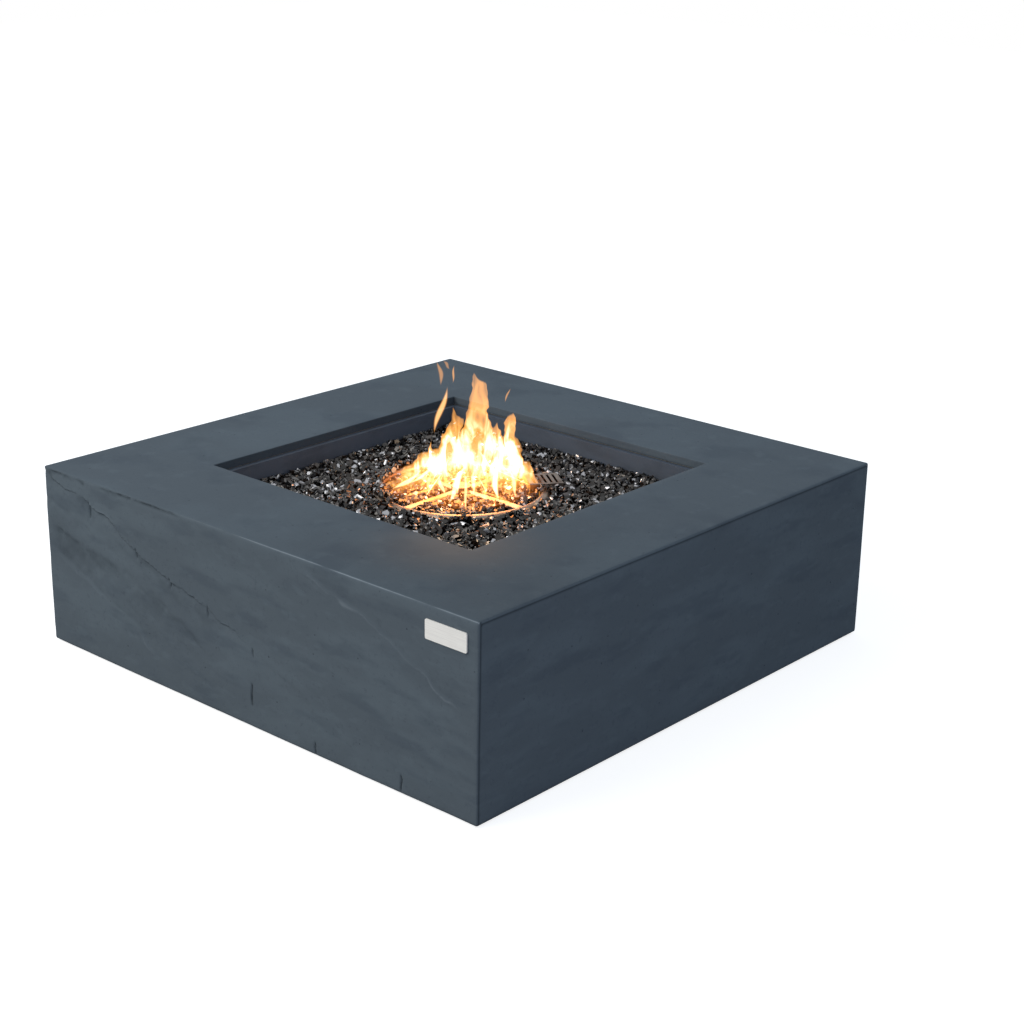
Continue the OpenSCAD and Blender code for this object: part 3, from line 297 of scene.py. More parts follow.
# Moulded rubber: matt black, greyed by dust. The mould's grain is drawn coarser than the real one.
RUBBER = Finish("moulded_rubber", "#1c1c1e", 0.82, ior=1.52, layers=(
    Layer(Pattern.CLOUD, (25, 25, 25), "#2a2928", (0.45, 0.65), 0.7),
    Layer(Pattern.CLOUD, (1.5, 1.5, 1.5), "#141415", (0.5, 0.7), 0.5, bump_mm=0.06),
))
# Satin aluminium under clear lacquer: even and nearly white, with faint streaks along X that are drawn
# coarser than the real ones.
BADGE_METAL = Finish("satin_aluminium", "#faf4ea", 0.42, metal=0.05, layers=(
    Layer(Pattern.CLOUD, (40, 0.8, 0.8), "#e9e2da", (0.42, 0.62), 0.5, rough=0.1, bump_mm=0.004),
    Layer(Pattern.CLOUD, (30, 30, 30), "#f1eae1", (0.48, 0.68), 0.5),
))
# Woven glass-fibre tape: matt greyish cream with slanting cords about 2 mm wide, browned by heat.
GASKET = Finish("woven_glass_fibre", "#8e8a7e", 0.9, layers=(
    Layer(Pattern.BANDS, (3, 3, 3), "#6f6b60", (0.3, 0.8), 0.7, bump_mm=0.2, detail=0.0),
    Layer(Pattern.CLOUD, (20, 20, 20), "#5b564d", (0.5, 0.7), 0.5),
))
# Glazed ceramic: glossy cream, toasted brown in places.
CERAMIC = Finish("glazed_ceramic", "#ddd6c6", 0.22, ior=1.55, layers=(
    Layer(Pattern.CLOUD, (12, 12, 25), "#a58e74", (0.5, 0.72), 0.6, rough=0.1),
    Layer(Pattern.CLOUD, (2, 2, 2), "#cfc6b4", (0.5, 0.7), 0.5, bump_mm=0.01),
))
# Drawn copper: reddish metal, dulled to brown in patches.
COPPER = Finish("drawn_copper", "#a8623f", 0.35, metal=1.0, layers=(
    Layer(Pattern.CLOUD, (25, 25, 25), "#6d4231", (0.48, 0.68), 0.7, rough=0.15),
    Layer(Pattern.CLOUD, (2, 2, 2), "#b8764f", (0.5, 0.7), 0.4, bump_mm=0.01),
))
# Cast aluminium: pale grey with a dull sheen. The skin's grain is drawn coarser than the real one.
ALUMINIUM = Finish("cast_aluminium", "#9fa1a4", 0.48, metal=1.0, layers=(
    Layer(Pattern.CLOUD, (15, 15, 15), "#85878b", (0.45, 0.65), 0.6, rough=0.1),
    Layer(Pattern.CLOUD, (1.2, 1.2, 1.2), "#8f9195", (0.45, 0.7), 0.5, bump_mm=0.05),
))
# Moulded nylon: soft black with a fine mould texture, drawn coarser than the real one.
BLACK_PLASTIC = Finish("moulded_black_nylon", "#18181a", 0.5, ior=1.53, layers=(
    Layer(Pattern.CLOUD, (18, 18, 18), "#232326", (0.45, 0.65), 0.6, rough=0.08),
    Layer(Pattern.CLOUD, (0.8, 0.8, 0.8), "#101012", (0.45, 0.7), 0.5, rough=0.08, bump_mm=0.03),
))
# Enamel laid into the pointer's groove: off-white, a little yellowed.
WHITE_PAINT = Finish("inlaid_white_enamel", "#dcdbd4", 0.45, layers=(
    Layer(Pattern.CLOUD, (4, 4, 4), "#c4c1b6", (0.48, 0.7), 0.6, rough=0.1),
))
# Moulded ABS: glossy deep red with faint flow marks. Its grain is drawn coarser than the real one.
RED_PLASTIC = Finish("moulded_red_abs", "#9c1f1a", 0.28, ior=1.53, layers=(
    Layer(Pattern.CLOUD, (9, 9, 9), "#7d1613", (0.45, 0.65), 0.6, rough=0.1),
    Layer(Pattern.CLOUD, (0.7, 0.7, 0.7), "#8c1a16", (0.45, 0.7), 0.4, bump_mm=0.015),
))
# A can in shrunk film: smooth dark grey with a metal glint.
BATTERY = Finish("wrapped_battery_can", "#585d63", 0.3, metal=0.6, layers=(
    Layer(Pattern.CLOUD, (12, 12, 12), "#44484d", (0.45, 0.65), 0.5, rough=0.1),
))
# Drawn spring steel: clean grey metal with darker drawing marks.
SPRING_STEEL = Finish("drawn_spring_steel", "#9b9da0", 0.3, metal=1.0, layers=(
    Layer(Pattern.CLOUD, (5, 5, 5), "#77797d", (0.45, 0.65), 0.6, rough=0.12),
))
# Braided stainless wire: bright slanting strands about 1.5 mm apart, with dark gaps.
BRAID = Finish("stainless_braid", "#8d9094", 0.38, metal=1.0, layers=(
    Layer(Pattern.BANDS, (2.4, 2.4, 2.4), "#4c4e52", (0.25, 0.75), 0.75, bump_mm=-0.3, detail=0.0),
    Layer(Pattern.CLOUD, (14, 14, 14), "#a1a3a5", (0.5, 0.7), 0.4),
))
# Extruded silicone: satin dark red, a little blotchy.
SILICONE = Finish("extruded_silicone", "#74211b", 0.5, ior=1.42, layers=(
    Layer(Pattern.CLOUD, (10, 10, 10), "#5d1915", (0.45, 0.65), 0.6, rough=0.12),
))
# Galvanised sheet: grey spangle of crystals about 14 mm wide, dulled in patches.
GALVANISED = Finish("galvanised_sheet", "#8b9095", 0.42, metal=1.0, layers=(
    Layer(Pattern.FACETS, (14, 14, 14), "#a3a8ad", (0.02, 0.35), 0.6, rough=-0.08),
    Layer(Pattern.CLOUD, (40, 40, 40), "#757a80", (0.45, 0.65), 0.6, rough=0.1),
))

CAD_FINISHES: dict[Finish, tuple[str, ...]] = {
    RUBBER: ("rubber_feet",),
    ZINC: ("foot_screws", "pan_screws", "pan_washers", "burner_locknuts", "panel_screws", "collar_nut",
           "set_screw", "shield_screws"),
    BRASS: ("foot_inserts", "slab_inserts", "panel_inserts", "gas_jet", "jet_elbow", "valve_body",
            "thermocouple_nut", "gas_inlet", "inlet_locknut", "union_nuts"),
    BADGE_METAL: ("badge_plate",),
    PAN_STEEL: ("fire_pan",),
    GASKET: ("pan_gasket",),
    BURNER_STEEL: ("burner",),
    ALUMINIUM: ("air_mixer", "magnet_unit", "inlet_tube"),
    HOOD_STEEL: ("ignition_hood", "hood_screws"),
    STAINLESS: ("ignition_bracket", "control_panel", "igniter_cap"),
    CERAMIC: ("electrode_ceramic",),
    COPPER: ("thermocouple", "thermocouple_lead"),
    BLACK_PLASTIC: ("dial_plate", "igniter_body", "igniter_nut"),
    SPRING_STEEL: ("electrode_wire", "valve_plunger", "valve_stem"),
    WHITE_PAINT: ("knob_pointer",),
    BATTERY: ("igniter_battery",),
    BRAID: ("burner_hose",),
    SILICONE: ("spark_lead",),
    GALVANISED: ("lead_clip", "heat_shield"),
}


def add_mesh(
        name: str, points: np.ndarray, faces: Sequence[np.ndarray], finish: bpy.types.Material,
        sharp_deg: float = 30.0, attributes: Mapping[str, np.ndarray] | None = None) -> bpy.types.Object:
    """Makes a mesh object at the origin from whole arrays.

    Args:
        name: Name of the object.
        points: Corner places in millimetres, one row each.
        faces: Arrays of corner numbers, one row per face, one array for each number of corners.
        finish: Material of the object.
        sharp_deg: Edges that turn by more than this stay sharp.
        attributes: Numbers for each point, or for each face, by name.

    Returns:
        The new object.
    """
    mesh = bpy.data.meshes.new(name)
    corners = np.concatenate([f.ravel() for f in faces]).astype(np.int32)
    counts = np.concatenate([np.full(len(f), f.shape[1]) for f in faces])
    mesh.vertices.add(len(points))
    mesh.vertices.foreach_set("co", np.ascontiguousarray(points * MM, dtype=np.float32).ravel())
    mesh.loops.add(len(corners))
    mesh.loops.foreach_set("vertex_index", corners)
    mesh.polygons.add(len(counts))
    mesh.polygons.foreach_set("loop_start", (np.cumsum(counts) - counts).astype(np.int32))
    mesh.polygons.foreach_set("use_smooth", np.ones(len(counts), bool))
    mesh.update(calc_edges=True)
    mesh.set_sharp_from_angle(angle=math.radians(sharp_deg))
    for key, values in (attributes or {}).items():
        domain = "POINT" if len(values) == len(points) else "FACE"
        mesh.attributes.new(key, "FLOAT", domain).data.foreach_set("value", values.astype(np.float32))
    mesh.materials.append(finish)
    made = bpy.data.objects.new(name, mesh)
    bpy.context.scene.collection.objects.link(made)
    LOG.info("%s: %d points, %d faces", name, len(points), len(counts))
    return made


def hang_lamp(lamp: bpy.types.Light, place: Matrix) -> bpy.types.Object:
    """Puts a lamp into the scene under its own name.

    Args:
        lamp: The lamp.
        place: Where it hangs and which way it is turned; it shines along its own -Z.

    Returns:
        The lamp's object.
    """
    hung = bpy.data.objects.new(lamp.name, lamp)
    hung.matrix_world = place
    bpy.context.scene.collection.objects.link(hung)
    return hung


@dataclass(frozen=True)
class Noise:
    """Value noise: random numbers on a cubic lattice, joined by smoothstep, with octaves of half the height.

    The number of a lattice point is a hash: its three numbers times primes, mixed bit by bit.

    Attributes:
        size: Lattice spacing of the first octave in millimetres.
        seed: Number that picks the random lattice.
        octaves: How many octaves are added up.
        height: About the greatest distance from the mean.
        mean: Number in the middle.
        PRIMES: Factors of the hash along X, Y and Z.
        MIX: Factor that mixes its bits.
        LOW_BITS: Bits of the hash that are kept.
        SEED_STEP: Shift of the lattice from seed to seed.
        OCTAVE_STEP: Shift of the lattice from octave to octave.
    """

    PRIMES: ClassVar[np.ndarray] = np.array([73856093, 19349663, 83492791])
    MIX: ClassVar[int] = 1274126177
    LOW_BITS: ClassVar[int] = 0xFFFFFFFF
    SEED_STEP: ClassVar[float] = 31.7
    OCTAVE_STEP: ClassVar[float] = 7.3

    size: float
    seed: int
    octaves: int
    height: float = 1.0
    mean: float = 0.0

    def at(self, points: np.ndarray) -> np.ndarray:
        """Works the noise out.

        Args:
            points: Places in millimetres, one row of three each.

        Returns:
            One number for each place.
        """
        total = np.zeros(len(points))
        for octave in range(self.octaves):
            place = points * (2 ** octave / self.size) + self.SEED_STEP * self.seed
            place += self.OCTAVE_STEP * octave
            cell = np.floor(place).astype(np.int64)
            part = place - cell
            part = part * part * (3 - 2 * part)
            layer = np.zeros(len(points))
            for corner in np.ndindex(2, 2, 2):
                mixed = np.bitwise_xor.reduce((cell + corner) * self.PRIMES, axis=1) & self.LOW_BITS
                mixed = (mixed ^ mixed >> 13) * self.MIX & self.LOW_BITS
                random = (mixed ^ mixed >> 16) / (self.LOW_BITS >> 1) - 1
                layer += random * np.prod(np.where(corner, part, 1 - part), axis=1)
            total += layer / 2 ** octave
        return self.mean + self.height * total


def grid_lines(keys: Sequence[float], coarse: float, parts: int = 1) -> tuple[np.ndarray, np.ndarray]:
    """Lines through every key place, at about the coarse step between them, each step cut into equal parts.

    Args:
        keys: Places that must have a line, in millimetres.
        coarse: Step of the coarse lines.
        parts: Fine lines to each coarse step. A gap narrower than a step is left whole.

    Returns:
        The places of all lines, and for each line the number of its nearest coarse line.
    """
    keys = np.unique(keys)
    lines, nearest, count = [keys[:1]], [np.zeros(1, int)], 0
    for low, high in zip(keys[:-1], keys[1:]):
        split = parts if high - low > coarse / 2 else 1
        steps = max(1, round((high - low) / coarse)) * split
        numbers = np.arange(1, steps + 1)
        lines.append(low + (high - low) * numbers / steps)
        nearest.append(count + np.rint(numbers / split).astype(int) * split)
        count += steps
    return np.concatenate(lines), np.concatenate(nearest)


def boundary_faces(filled: np.ndarray) -> np.ndarray:
    """Squares between filled cells and empty ones, turned outwards.

    Args:
        filled: Truth value of each cell of a lattice.

    Returns:
        Lattice numbers of four corners for each face, as an array of n by 4 by 3.
    """
    found = []
    for axis in range(3):
        along, across = np.eye(3, dtype=int)[[(axis + 1) % 3, (axis + 2) % 3]]
        padded = np.pad(filled, [(1, 1) if a == axis else (0, 0) for a in range(3)])
        for side in (0, 1):
            beyond = np.take(padded, np.arange(filled.shape[axis]) + 2 * side, axis)
            base = np.argwhere(filled & ~beyond) + side * np.eye(3, dtype=int)[axis]
            ring = [base, base + along, base + along + across, base + across]
            found.append(np.stack(ring if side else ring[::-1], axis=1))
    return np.concatenate(found)


def merge_corners(corners: np.ndarray) -> tuple[np.ndarray, list[np.ndarray]]:
    """Joins equal corners, and drops the faces and edges that have shrunk to nothing.

    Args:
        corners: Lattice numbers of four corners for each face, as an array of n by 4 by 3.

    Returns:
        The lattice numbers of the points, and the triangles and squares between them.
    """
    shape = tuple(corners.reshape(-1, 3).max(axis=0) + 1)
    flat = np.ravel_multi_index(tuple(corners.reshape(-1, 3).T), shape)
    used, numbers = np.unique(flat, return_inverse=True)
    rings = numbers.reshape(-1, 4)
    same = rings == np.roll(rings, -1, axis=1)
    whole = (rings[:, 0] != rings[:, 2]) & (rings[:, 1] != rings[:, 3])
    squares = rings[whole & (same.sum(axis=1) == 0)]
    thin = whole & (same.sum(axis=1) == 1)
    triangles = rings[thin][~same[thin]].reshape(-1, 3)
    return np.stack(np.unravel_index(used, shape), axis=1), [triangles, squares]


@dataclass(frozen=True)
class Ridge:
    """A broken edge of a slate layer on the badge side. Its sizes are in millimetres.

    Attributes:
        path: Places along the edge, as X and Z.
        depth: Depth of the recess beside the edge.
        spread: Distance over which the recess rises back to the face.
        side: 1 where the recess is above the edge, -1 where it is below.
        onset: Distance over which the face falls into the recess.
        lip: Share of the depth by which the edge stands proud.
        crack: Painted shade of the thin line under the edge.
        END_SHARE: Share of the path over which its ends run out.
        LEAD: Distance before the edge at which the face starts to fall.
        LIP_PLACE: Place of the lip's crest across the edge.
        LIP_WIDTH: Width of the lip.
        CRACK_PLACE: Place of the thin line across the edge.
        CRACK_WIDTH: Width of the thin line.
    """

    END_SHARE: ClassVar[float] = 0.12
    LEAD: ClassVar[float] = 1.5
    LIP_PLACE: ClassVar[float] = -2.5
    LIP_WIDTH: ClassVar[float] = 2.8
    CRACK_PLACE: ClassVar[float] = 0.5
    CRACK_WIDTH: ClassVar[float] = 1.8

    path: tuple[tuple[float, float], ...]
    depth: float
    spread: float
    side: int
    onset: float = 2.0
    lip: float = 0.25
    crack: float = 0.0

    def profile(self, x: np.ndarray, z: np.ndarray) -> tuple[np.ndarray, np.ndarray, np.ndarray]:
        """A step at the line that fades with distance, with a narrow proud lip on the other side.

        The step is a smoothstep times a falling exponential; lip and crack are bell curves beside the line.
        All three fade over an end share of the path.

        Args:
            x: Places along the face.
            z: Heights of the places.

        Returns:
            Depth below the face, how far each place lies on the lip for its painted highlight, and how dark the
            crack's painted shade makes it.
        """
        path = np.array(self.path)
        start, run = path[:-1], np.diff(path, axis=0)
        away = np.stack([x, z], axis=1)[:, None] - start
        share = np.clip((away * run).sum(axis=2) / (run ** 2).sum(axis=1), 0, 1)
        rest = away - share[..., None] * run
        reach = np.hypot(rest[..., 0], rest[..., 1])
        near = reach.argmin(axis=1)
        rows = np.arange(len(x))
        turn = run[near, 0] * away[rows, near, 1] - run[near, 1] * away[rows, near, 0]
        gap = reach[rows, near]
        along = (near + share[rows, near]) / len(run)
        fade = np.clip(np.minimum(along, 1 - along) / self.END_SHARE, 0, 1)
        gap = gap * np.sign(turn) * self.side
        rise = np.clip((gap + self.LEAD) / (self.onset + self.LEAD), 0, 1)
        fall = rise * rise * (3 - 2 * rise) * np.exp(-np.maximum(gap, 0) / self.spread) * fade
        lip = np.exp(-((gap - self.LIP_PLACE) / self.LIP_WIDTH) ** 2) * fade
        crack = self.crack * np.exp(-((gap - self.CRACK_PLACE) / self.CRACK_WIDTH) ** 2) * fade
        return self.depth * (fall - self.lip * lip), self.lip * lip, crack


@dataclass
class ConcreteShell:
    """The cast shell: a slab with a square opening on four thin walls, with slate relief on the badge side.

    Attributes:
        half: Half of the outer side. All sizes are in millimetres.
        bottom: Height of the lower edge.
        top: Height of the slab's top.
        inner: Half of the side between the walls.
        slab: Height of the slab's underside.
        opening: Half of the opening's side.
        block: Distance of the foot blocks' inner sides from the middle.
        block_low: Height of the foot blocks' undersides.
        block_high: Height of the foot blocks' tops.
        window_half: Half of the width of the window for the controls.
        window_low: Height of the window's lower edge.
        window_high: Height of the window's upper edge.
        edge: Radius of the outer edges.
        rim_edge: Radius of the opening's top edge.
        edge_lines: Distances of the lattice's lines from an outer edge, as shares of its radius.
        rim_line: Distance of a line within the rounding of the opening's edge.
        coarse_step: Step of the lattice off the badge side.
        fine_parts: Parts of a step along X and Z on the badge side.
        jog_x: How far the ridges stray from their paths along X.
        jog_z: How far they stray along Z.
        patches: How much of a ridge is left, from place to place.
        lip_shares: Painted highlight on a lip where its ridge is gone, and what a whole ridge adds.
        slant: Turn and stretch of the shade's grain, which runs down to the right as slate splits.
        grain: Grain of the painted shade in the recesses.
        shade_depth: Depth of a recess whose painted shade would be full.
        shade_most: Painted shade of the deepest recess.
        rag: How far the short cracks stray along X.
        crack_half: Half of the width of a short crack.
        crack_fade: Length over which a short crack runs out.
        crack_depth: Depth of the cracks.
        crack_shade: Painted shade in the cracks, in the ridges' thin lines and in the line under the chips.
        chip_end: Place along X where the chips of the top edge end, on their way from the left.
        chip_run: Length over which they end.
        chips: How much of the top edge is chipped, from place to place.
        chip_rag: How far the chips stray in height.
        chip_drop: Height of the chips.
        chip_half: Half of the width of the groove under the chips, which is painted as a shadow line.
        long_swell: Wide swells of the badge side.
        short_swell: Narrow swells of the badge side.
        side_swell: Depth of the four sides' low swells.
        badge: X and Z of the badge's middle, where the face is flat.
        badge_half: Half of the flat place's width and height.
        badge_blend: Distances over which the relief comes back.
        wear_highlight_reach: Distance over which the paleness of an edge, partly wear and partly a painted
            highlight, falls off.
        wear_highlight_others: Paleness of the edges other than the badge side's upper one.
        wear_highlight_start: Place along X from which the edges get paler.
        wear_highlight_run: Length over which they do.
        wear_highlight_least: Share of the paleness that the left edges have.
        wear_highlight_patches: How pale the edges are, from place to place.
        opening_shade: Painted shade on the opening's left side and along its lower edge.
        opening_shade_gap: Height under the slab's top that the painted shade leaves clean.
        under_edge: Painted shade of the line where the rounding of an edge ends.
        corner_shade: Painted shade on the slab's top at its front corner.
        corner_shade_reach: Distance over which that painted shade fades.
        ridges: Broken edges of the slate layers.
        cracks: Short upright cracks: X, upper end and lower end.
    """

    half: float = 460.0
    bottom: float = 3.0
    top: float = 294.0
    inner: float = 442.0
    slab: float = 280.5
    opening: float = 274.0
    block: float = 378.0
    block_low: float = 12.0
    block_high: float = 52.0
    window_half: float = 98.0
    window_low: float = 87.0
    window_high: float = 173.0
    edge: float = 4.0
    rim_edge: float = 1.5
    edge_lines: tuple[float, ...] = (0.0, 0.15, 0.5, 1.0, 2.0)
    rim_line: float = 0.45
    coarse_step: float = 12.0
    fine_parts: tuple[int, int] = (6, 4)
    jog_x: Noise = Noise(26.0, seed=3, octaves=2, height=5.0)
    jog_z: Noise = Noise(26.0, seed=4, octaves=2, height=5.0)
    patches: Noise = Noise(30.0, seed=5, octaves=3, mean=0.65)
    lip_shares: tuple[float, float] = (0.65, 0.55)
    slant: tuple[tuple[float, ...], ...] = ((0.18, 0, 0.44), (0, 0, 0), (-0.09, 0, 0.9))
    grain: Noise = Noise(15.0, seed=14, octaves=3, mean=0.8)
    shade_depth: float = 8.0
    shade_most: float = 0.38
    rag: Noise = Noise(9.0, seed=12, octaves=2, height=2.0)
    crack_half: float = 1.5
    crack_fade: float = 3.0
    crack_depth: float = 2.2
    crack_shade: float = 0.85
    chip_end: float = -90.0
    chip_run: float = 90.0
    chips: Noise = Noise(19.0, seed=6, octaves=3, mean=0.8)
    chip_rag: Noise = Noise(15.0, seed=13, octaves=2, height=1.5)
    chip_drop: float = 5.0
    chip_half: float = 2.2
    long_swell: Noise = Noise(120.0, seed=7, octaves=3, height=0.6)
    short_swell: Noise = Noise(14.0, seed=8, octaves=2, height=0.2)
    side_swell: Noise = Noise(160.0, seed=9, octaves=3, height=0.5, mean=0.5)
    badge: tuple[float, float] = (404.0, 260.0)
    badge_half: tuple[float, float] = (42.0, 19.0)
    badge_blend: tuple[float, float] = (20.0, 16.0)
    wear_highlight_reach: float = 1.5
    wear_highlight_others: float = 0.35
    wear_highlight_start: float = -200.0
    wear_highlight_run: float = 240.0
    wear_highlight_least: float = 0.15
    wear_highlight_patches: Noise = Noise(40.0, seed=11, octaves=3, height=0.5, mean=0.7)
    opening_shade: float = 0.55
    opening_shade_gap: float = 0.2
    under_edge: float = 0.8
    corner_shade: float = 0.4
    corner_shade_reach: float = 620.0
    ridges: tuple[Ridge, ...] = (
        Ridge(((-475, 286), (-451, 282), (-403, 267), (-348, 260), (-293, 234), (-239, 204), (-176, 184),
               (-115, 172), (-75, 158), (-48, 151), (10, 128)),
              depth=2.4, spread=26.0, side=-1, onset=1.6, lip=0.22, crack=0.75),
        Ridge(((-440, 205), (-418, 192), (-310, 179), (-238, 164), (-195, 151), (-123, 115), (-70, 84)),
              depth=3.0, spread=24.0, side=-1, onset=9.0, lip=0.0),
        Ridge(((-470, 172), (-440, 160), (-373, 131), (-331, 112), (-272, 99), (-244, 85), (-219, 61),
               (-180, 40)), depth=1.7, spread=26.0, side=1, onset=5.0, lip=0.2),
        Ridge(((110, 276), (151, 270), (223, 252), (276, 239), (328, 205), (395, 174), (450, 150)),
              depth=1.0, spread=30.0, side=1, onset=4.0, lip=0.3),
        Ridge(((-475, 252), (-420, 240), (-372, 224), (-318, 205), (-270, 190)),
              depth=1.2, spread=22.0, side=-1, onset=6.0, lip=0.0),
        Ridge(((30, 120), (110, 96), (190, 60), (250, 30)),
              depth=0.8, spread=30.0, side=-1, onset=6.0, lip=0.05),
    )
    cracks: tuple[tuple[float, float, float], ...] = (
        (-349, 260, 237), (-238, 210, 200), (-162, 184, 172), (-76, 164, 150), (22, 125, 117), (18, 69, 39),
        (319, 28, 8), (151, 20, 7),
    )

    def box(self) -> tuple[np.ndarray, np.ndarray]:
        """Returns the lowest and the highest corner of the shell."""
        return np.array([-self.half, -self.half, self.bottom]), np.array([self.half, self.half, self.top])

    def relief(self, points: np.ndarray) -> tuple[np.ndarray, np.ndarray, np.ndarray]:
        """Slate relief: broken ridges and short cracks on jogged lines, a chipped top edge and low swells.

        Ridges are added up and scaled by a patchy noise. A crack is a bell curve across and beyond its ends.
        The chips are a bell curve below the left half of the top edge. Round the badge all of it goes to
        nothing.

        Args:
            points: Places on the badge side in millimetres.

        Returns:
            Depth below the plane of the face, how dark its painted shade makes each place, and how pale its
            painted highlight on the lips makes it, from 0 to 1.
        """
        flat = points * (1, 0, 1)
        x, z = points[:, 0], points[:, 2]
        broken = np.clip(self.patches.at(flat), 0, 1.5)
        jogged = x + self.jog_x.at(flat), z + self.jog_z.at(flat)
        profiles = [ridge.profile(*jogged) for ridge in self.ridges]
        fallen = sum(fall for fall, _, _ in profiles)
        # Painted highlight along the lips of the ridges.
        lip_highlights = np.max([lip for _, lip, _ in profiles], axis=0)
        lip_highlights = lip_highlights * (self.lip_shares[0] + self.lip_shares[1] * broken)
        # Painted shade in the recesses, darker where the face falls deeper.
        shade = fallen * self.grain.at(flat @ np.array(self.slant)) / self.shade_depth
        shade = np.clip(shade, 0, self.shade_most)
        ragged = x + self.rag.at(flat)
        # Painted shade in the ridges' thin lines, the short cracks and the groove under the chipped top edge;
        # these marks are also cut in.
        dark = np.max([crack for _, _, crack in profiles], axis=0) * np.clip(broken, 0, 1)
        for place, high, low in self.cracks:
            gone = np.maximum(np.maximum(low - z, z - high), 0)
            line = np.exp(-((ragged - place) / self.crack_half) ** 2 - (gone / self.crack_fade) ** 2)
            dark = np.maximum(dark, line)
        under = self.top - z + self.chip_rag.at(flat)
        chipped = np.clip((self.chip_end - x) / self.chip_run, 0, 1) * np.clip(self.chips.at(flat), 0, 1)
        dark = np.maximum(dark, chipped * np.exp(-((under - self.chip_drop) / self.chip_half) ** 2))
        swells = self.crack_depth * dark + self.long_swell.at(flat) + self.short_swell.at(flat)
        depth = fallen * broken + swells
        beyond = (np.abs(points[:, [0, 2]] - self.badge) - self.badge_half) / self.badge_blend
        calm = np.clip(beyond, 0, 1).max(axis=1)
        return depth * calm, np.maximum(self.crack_shade * dark, shade) * calm, lip_highlights * calm

    def points_and_faces(self) -> tuple[np.ndarray, list[np.ndarray]]:
        """Cells of a rectilinear lattice that lie in the concrete, with coarse squares off the badge side.

        Returns:
            Points in millimetres, and triangles and squares.
        """
        near = self.edge * np.array(self.edge_lines)
        rim = np.array([0, self.rim_line, self.rim_edge])
        plan = np.concatenate([self.half - near, self.opening + rim, [self.inner, self.block]])
        x_keys = np.concatenate([plan, -plan, [-self.window_half, self.window_half]])
        z_keys = np.concatenate([self.bottom + near, self.top - near, self.top - rim, [
            self.block_low, self.block_high, self.window_low, self.window_high, self.slab]])
        x, x_near = grid_lines(x_keys, self.coarse_step, self.fine_parts[0])
        y, y_near = grid_lines(np.concatenate([plan, -plan]), self.coarse_step)
        z, z_near = grid_lines(z_keys, self.coarse_step, self.fine_parts[1])
        middles = [(line[1:] + line[:-1]) / 2 for line in (x, y, z)]
        cx, cy, cz = np.meshgrid(*middles, indexing="ij", sparse=True)
        wide = np.maximum(np.abs(cx), np.abs(cy))
        walls = (wide > self.inner) & (cz > self.bottom)
        slab = (wide > self.opening) & (cz > self.slab)
        blocks = np.minimum(np.abs(cx), np.abs(cy)) > self.block
        blocks = blocks & (cz > self.block_low) & (cz < self.block_high)
        window = (np.abs(cx) < self.window_half) & (cy > self.inner)
        window = window & (cz > self.window_low) & (cz < self.window_high)
        corners = boundary_faces((walls | slab | blocks) & ~window)
        coarse = [nearest[corners[..., axis]] for axis, nearest in enumerate((x_near, y_near, z_near))]
        fine = corners[..., 1:2] < len(near)
        numbers, faces = merge_corners(np.where(fine, corners, np.stack(coarse, axis=-1)))
        return np.stack([x[numbers[:, 0]], y[numbers[:, 1]], z[numbers[:, 2]]], axis=1), faces

    def rounded(self, points: np.ndarray) -> np.ndarray:
        """Outer points moved to the edge radius from a smaller box, and the opening's top edge to its own.

        Args:
            points: Points of the square-edged shell.

        Returns:
            Points with rounded edges.
        """
        low, high = self.box()
        core = np.clip(points, low + self.edge, high - self.edge)
        away = points - core
        reach = np.linalg.norm(away, axis=1, keepdims=True)
        outer = ((points == low) | (points == high)).any(axis=1, keepdims=True)
        made = np.where(outer & (reach > 0), core + away * self.edge / np.maximum(reach, TINY), points)
        sides = np.abs(points[:, :2])
        back = sides.max(axis=1) - self.opening
        down = self.top - points[:, 2]
        at_rim = (back >= 0) & (back < self.rim_edge) & (down < self.rim_edge)
        far = np.maximum(np.hypot(back - self.rim_edge, down - self.rim_edge), TINY)
        pull = np.where(at_rim, self.rim_edge / far - 1, 0.0)
        widest = sides == sides.max(axis=1, keepdims=True)
        made[:, :2] += np.sign(points[:, :2]) * widest * (pull * (back - self.rim_edge))[:, None]
        made[:, 2] -= pull * (down - self.rim_edge)
        return made

    def wear_and_highlight(self, square: np.ndarray, gaps: np.ndarray) -> np.ndarray:
        """Paleness of the outer edges, partly wear and partly a painted highlight: it falls off by an
        exponential, patchily, and fades to the left.

        Args:
            square: Points of the square-edged shell.
            gaps: Distances of each point from the outer planes, the least first.

        Returns:
            Paleness of each point, from 0 to 1.
        """
        outer = gaps[:, 0] == 0
        # Pale edges, partly wear and partly a painted highlight that is fullest on the badge side's upper edge.
        badge_edge = outer & (square[:, 1] < self.edge - self.half) & (square[:, 2] > self.top - self.edge)
        pale = np.where(badge_edge, 1, self.wear_highlight_others) * np.exp(-gaps[:, 1] / self.wear_highlight_reach)
        pale = np.where(outer, pale, 0)
        pale = pale * np.clip((square[:, 0] - self.wear_highlight_start) / self.wear_highlight_run, self.wear_highlight_least, 1)
        return pale * np.clip(self.wear_highlight_patches.at(square), 0, 1)

    def shade(self, square: np.ndarray, outer: np.ndarray) -> np.ndarray:
        """Painted shade off the relief: on the opening's left side and along its lower edge, in lines under the
        edges, and on the slab's top towards its front corner.

        Args:
            square: Points of the square-edged shell.
            outer: Truth value of the points on the outer planes.

        Returns:
            Darkness of each point, from 0 to 1.
        """
        x, y, z = square.T
        bend = self.half - self.edge
        # Painted shade in a line under the top edges and beside the front upright edge.
        lines = outer & (y > -bend) & (z == self.top - self.edge) | (x == self.half) & (y == -bend)
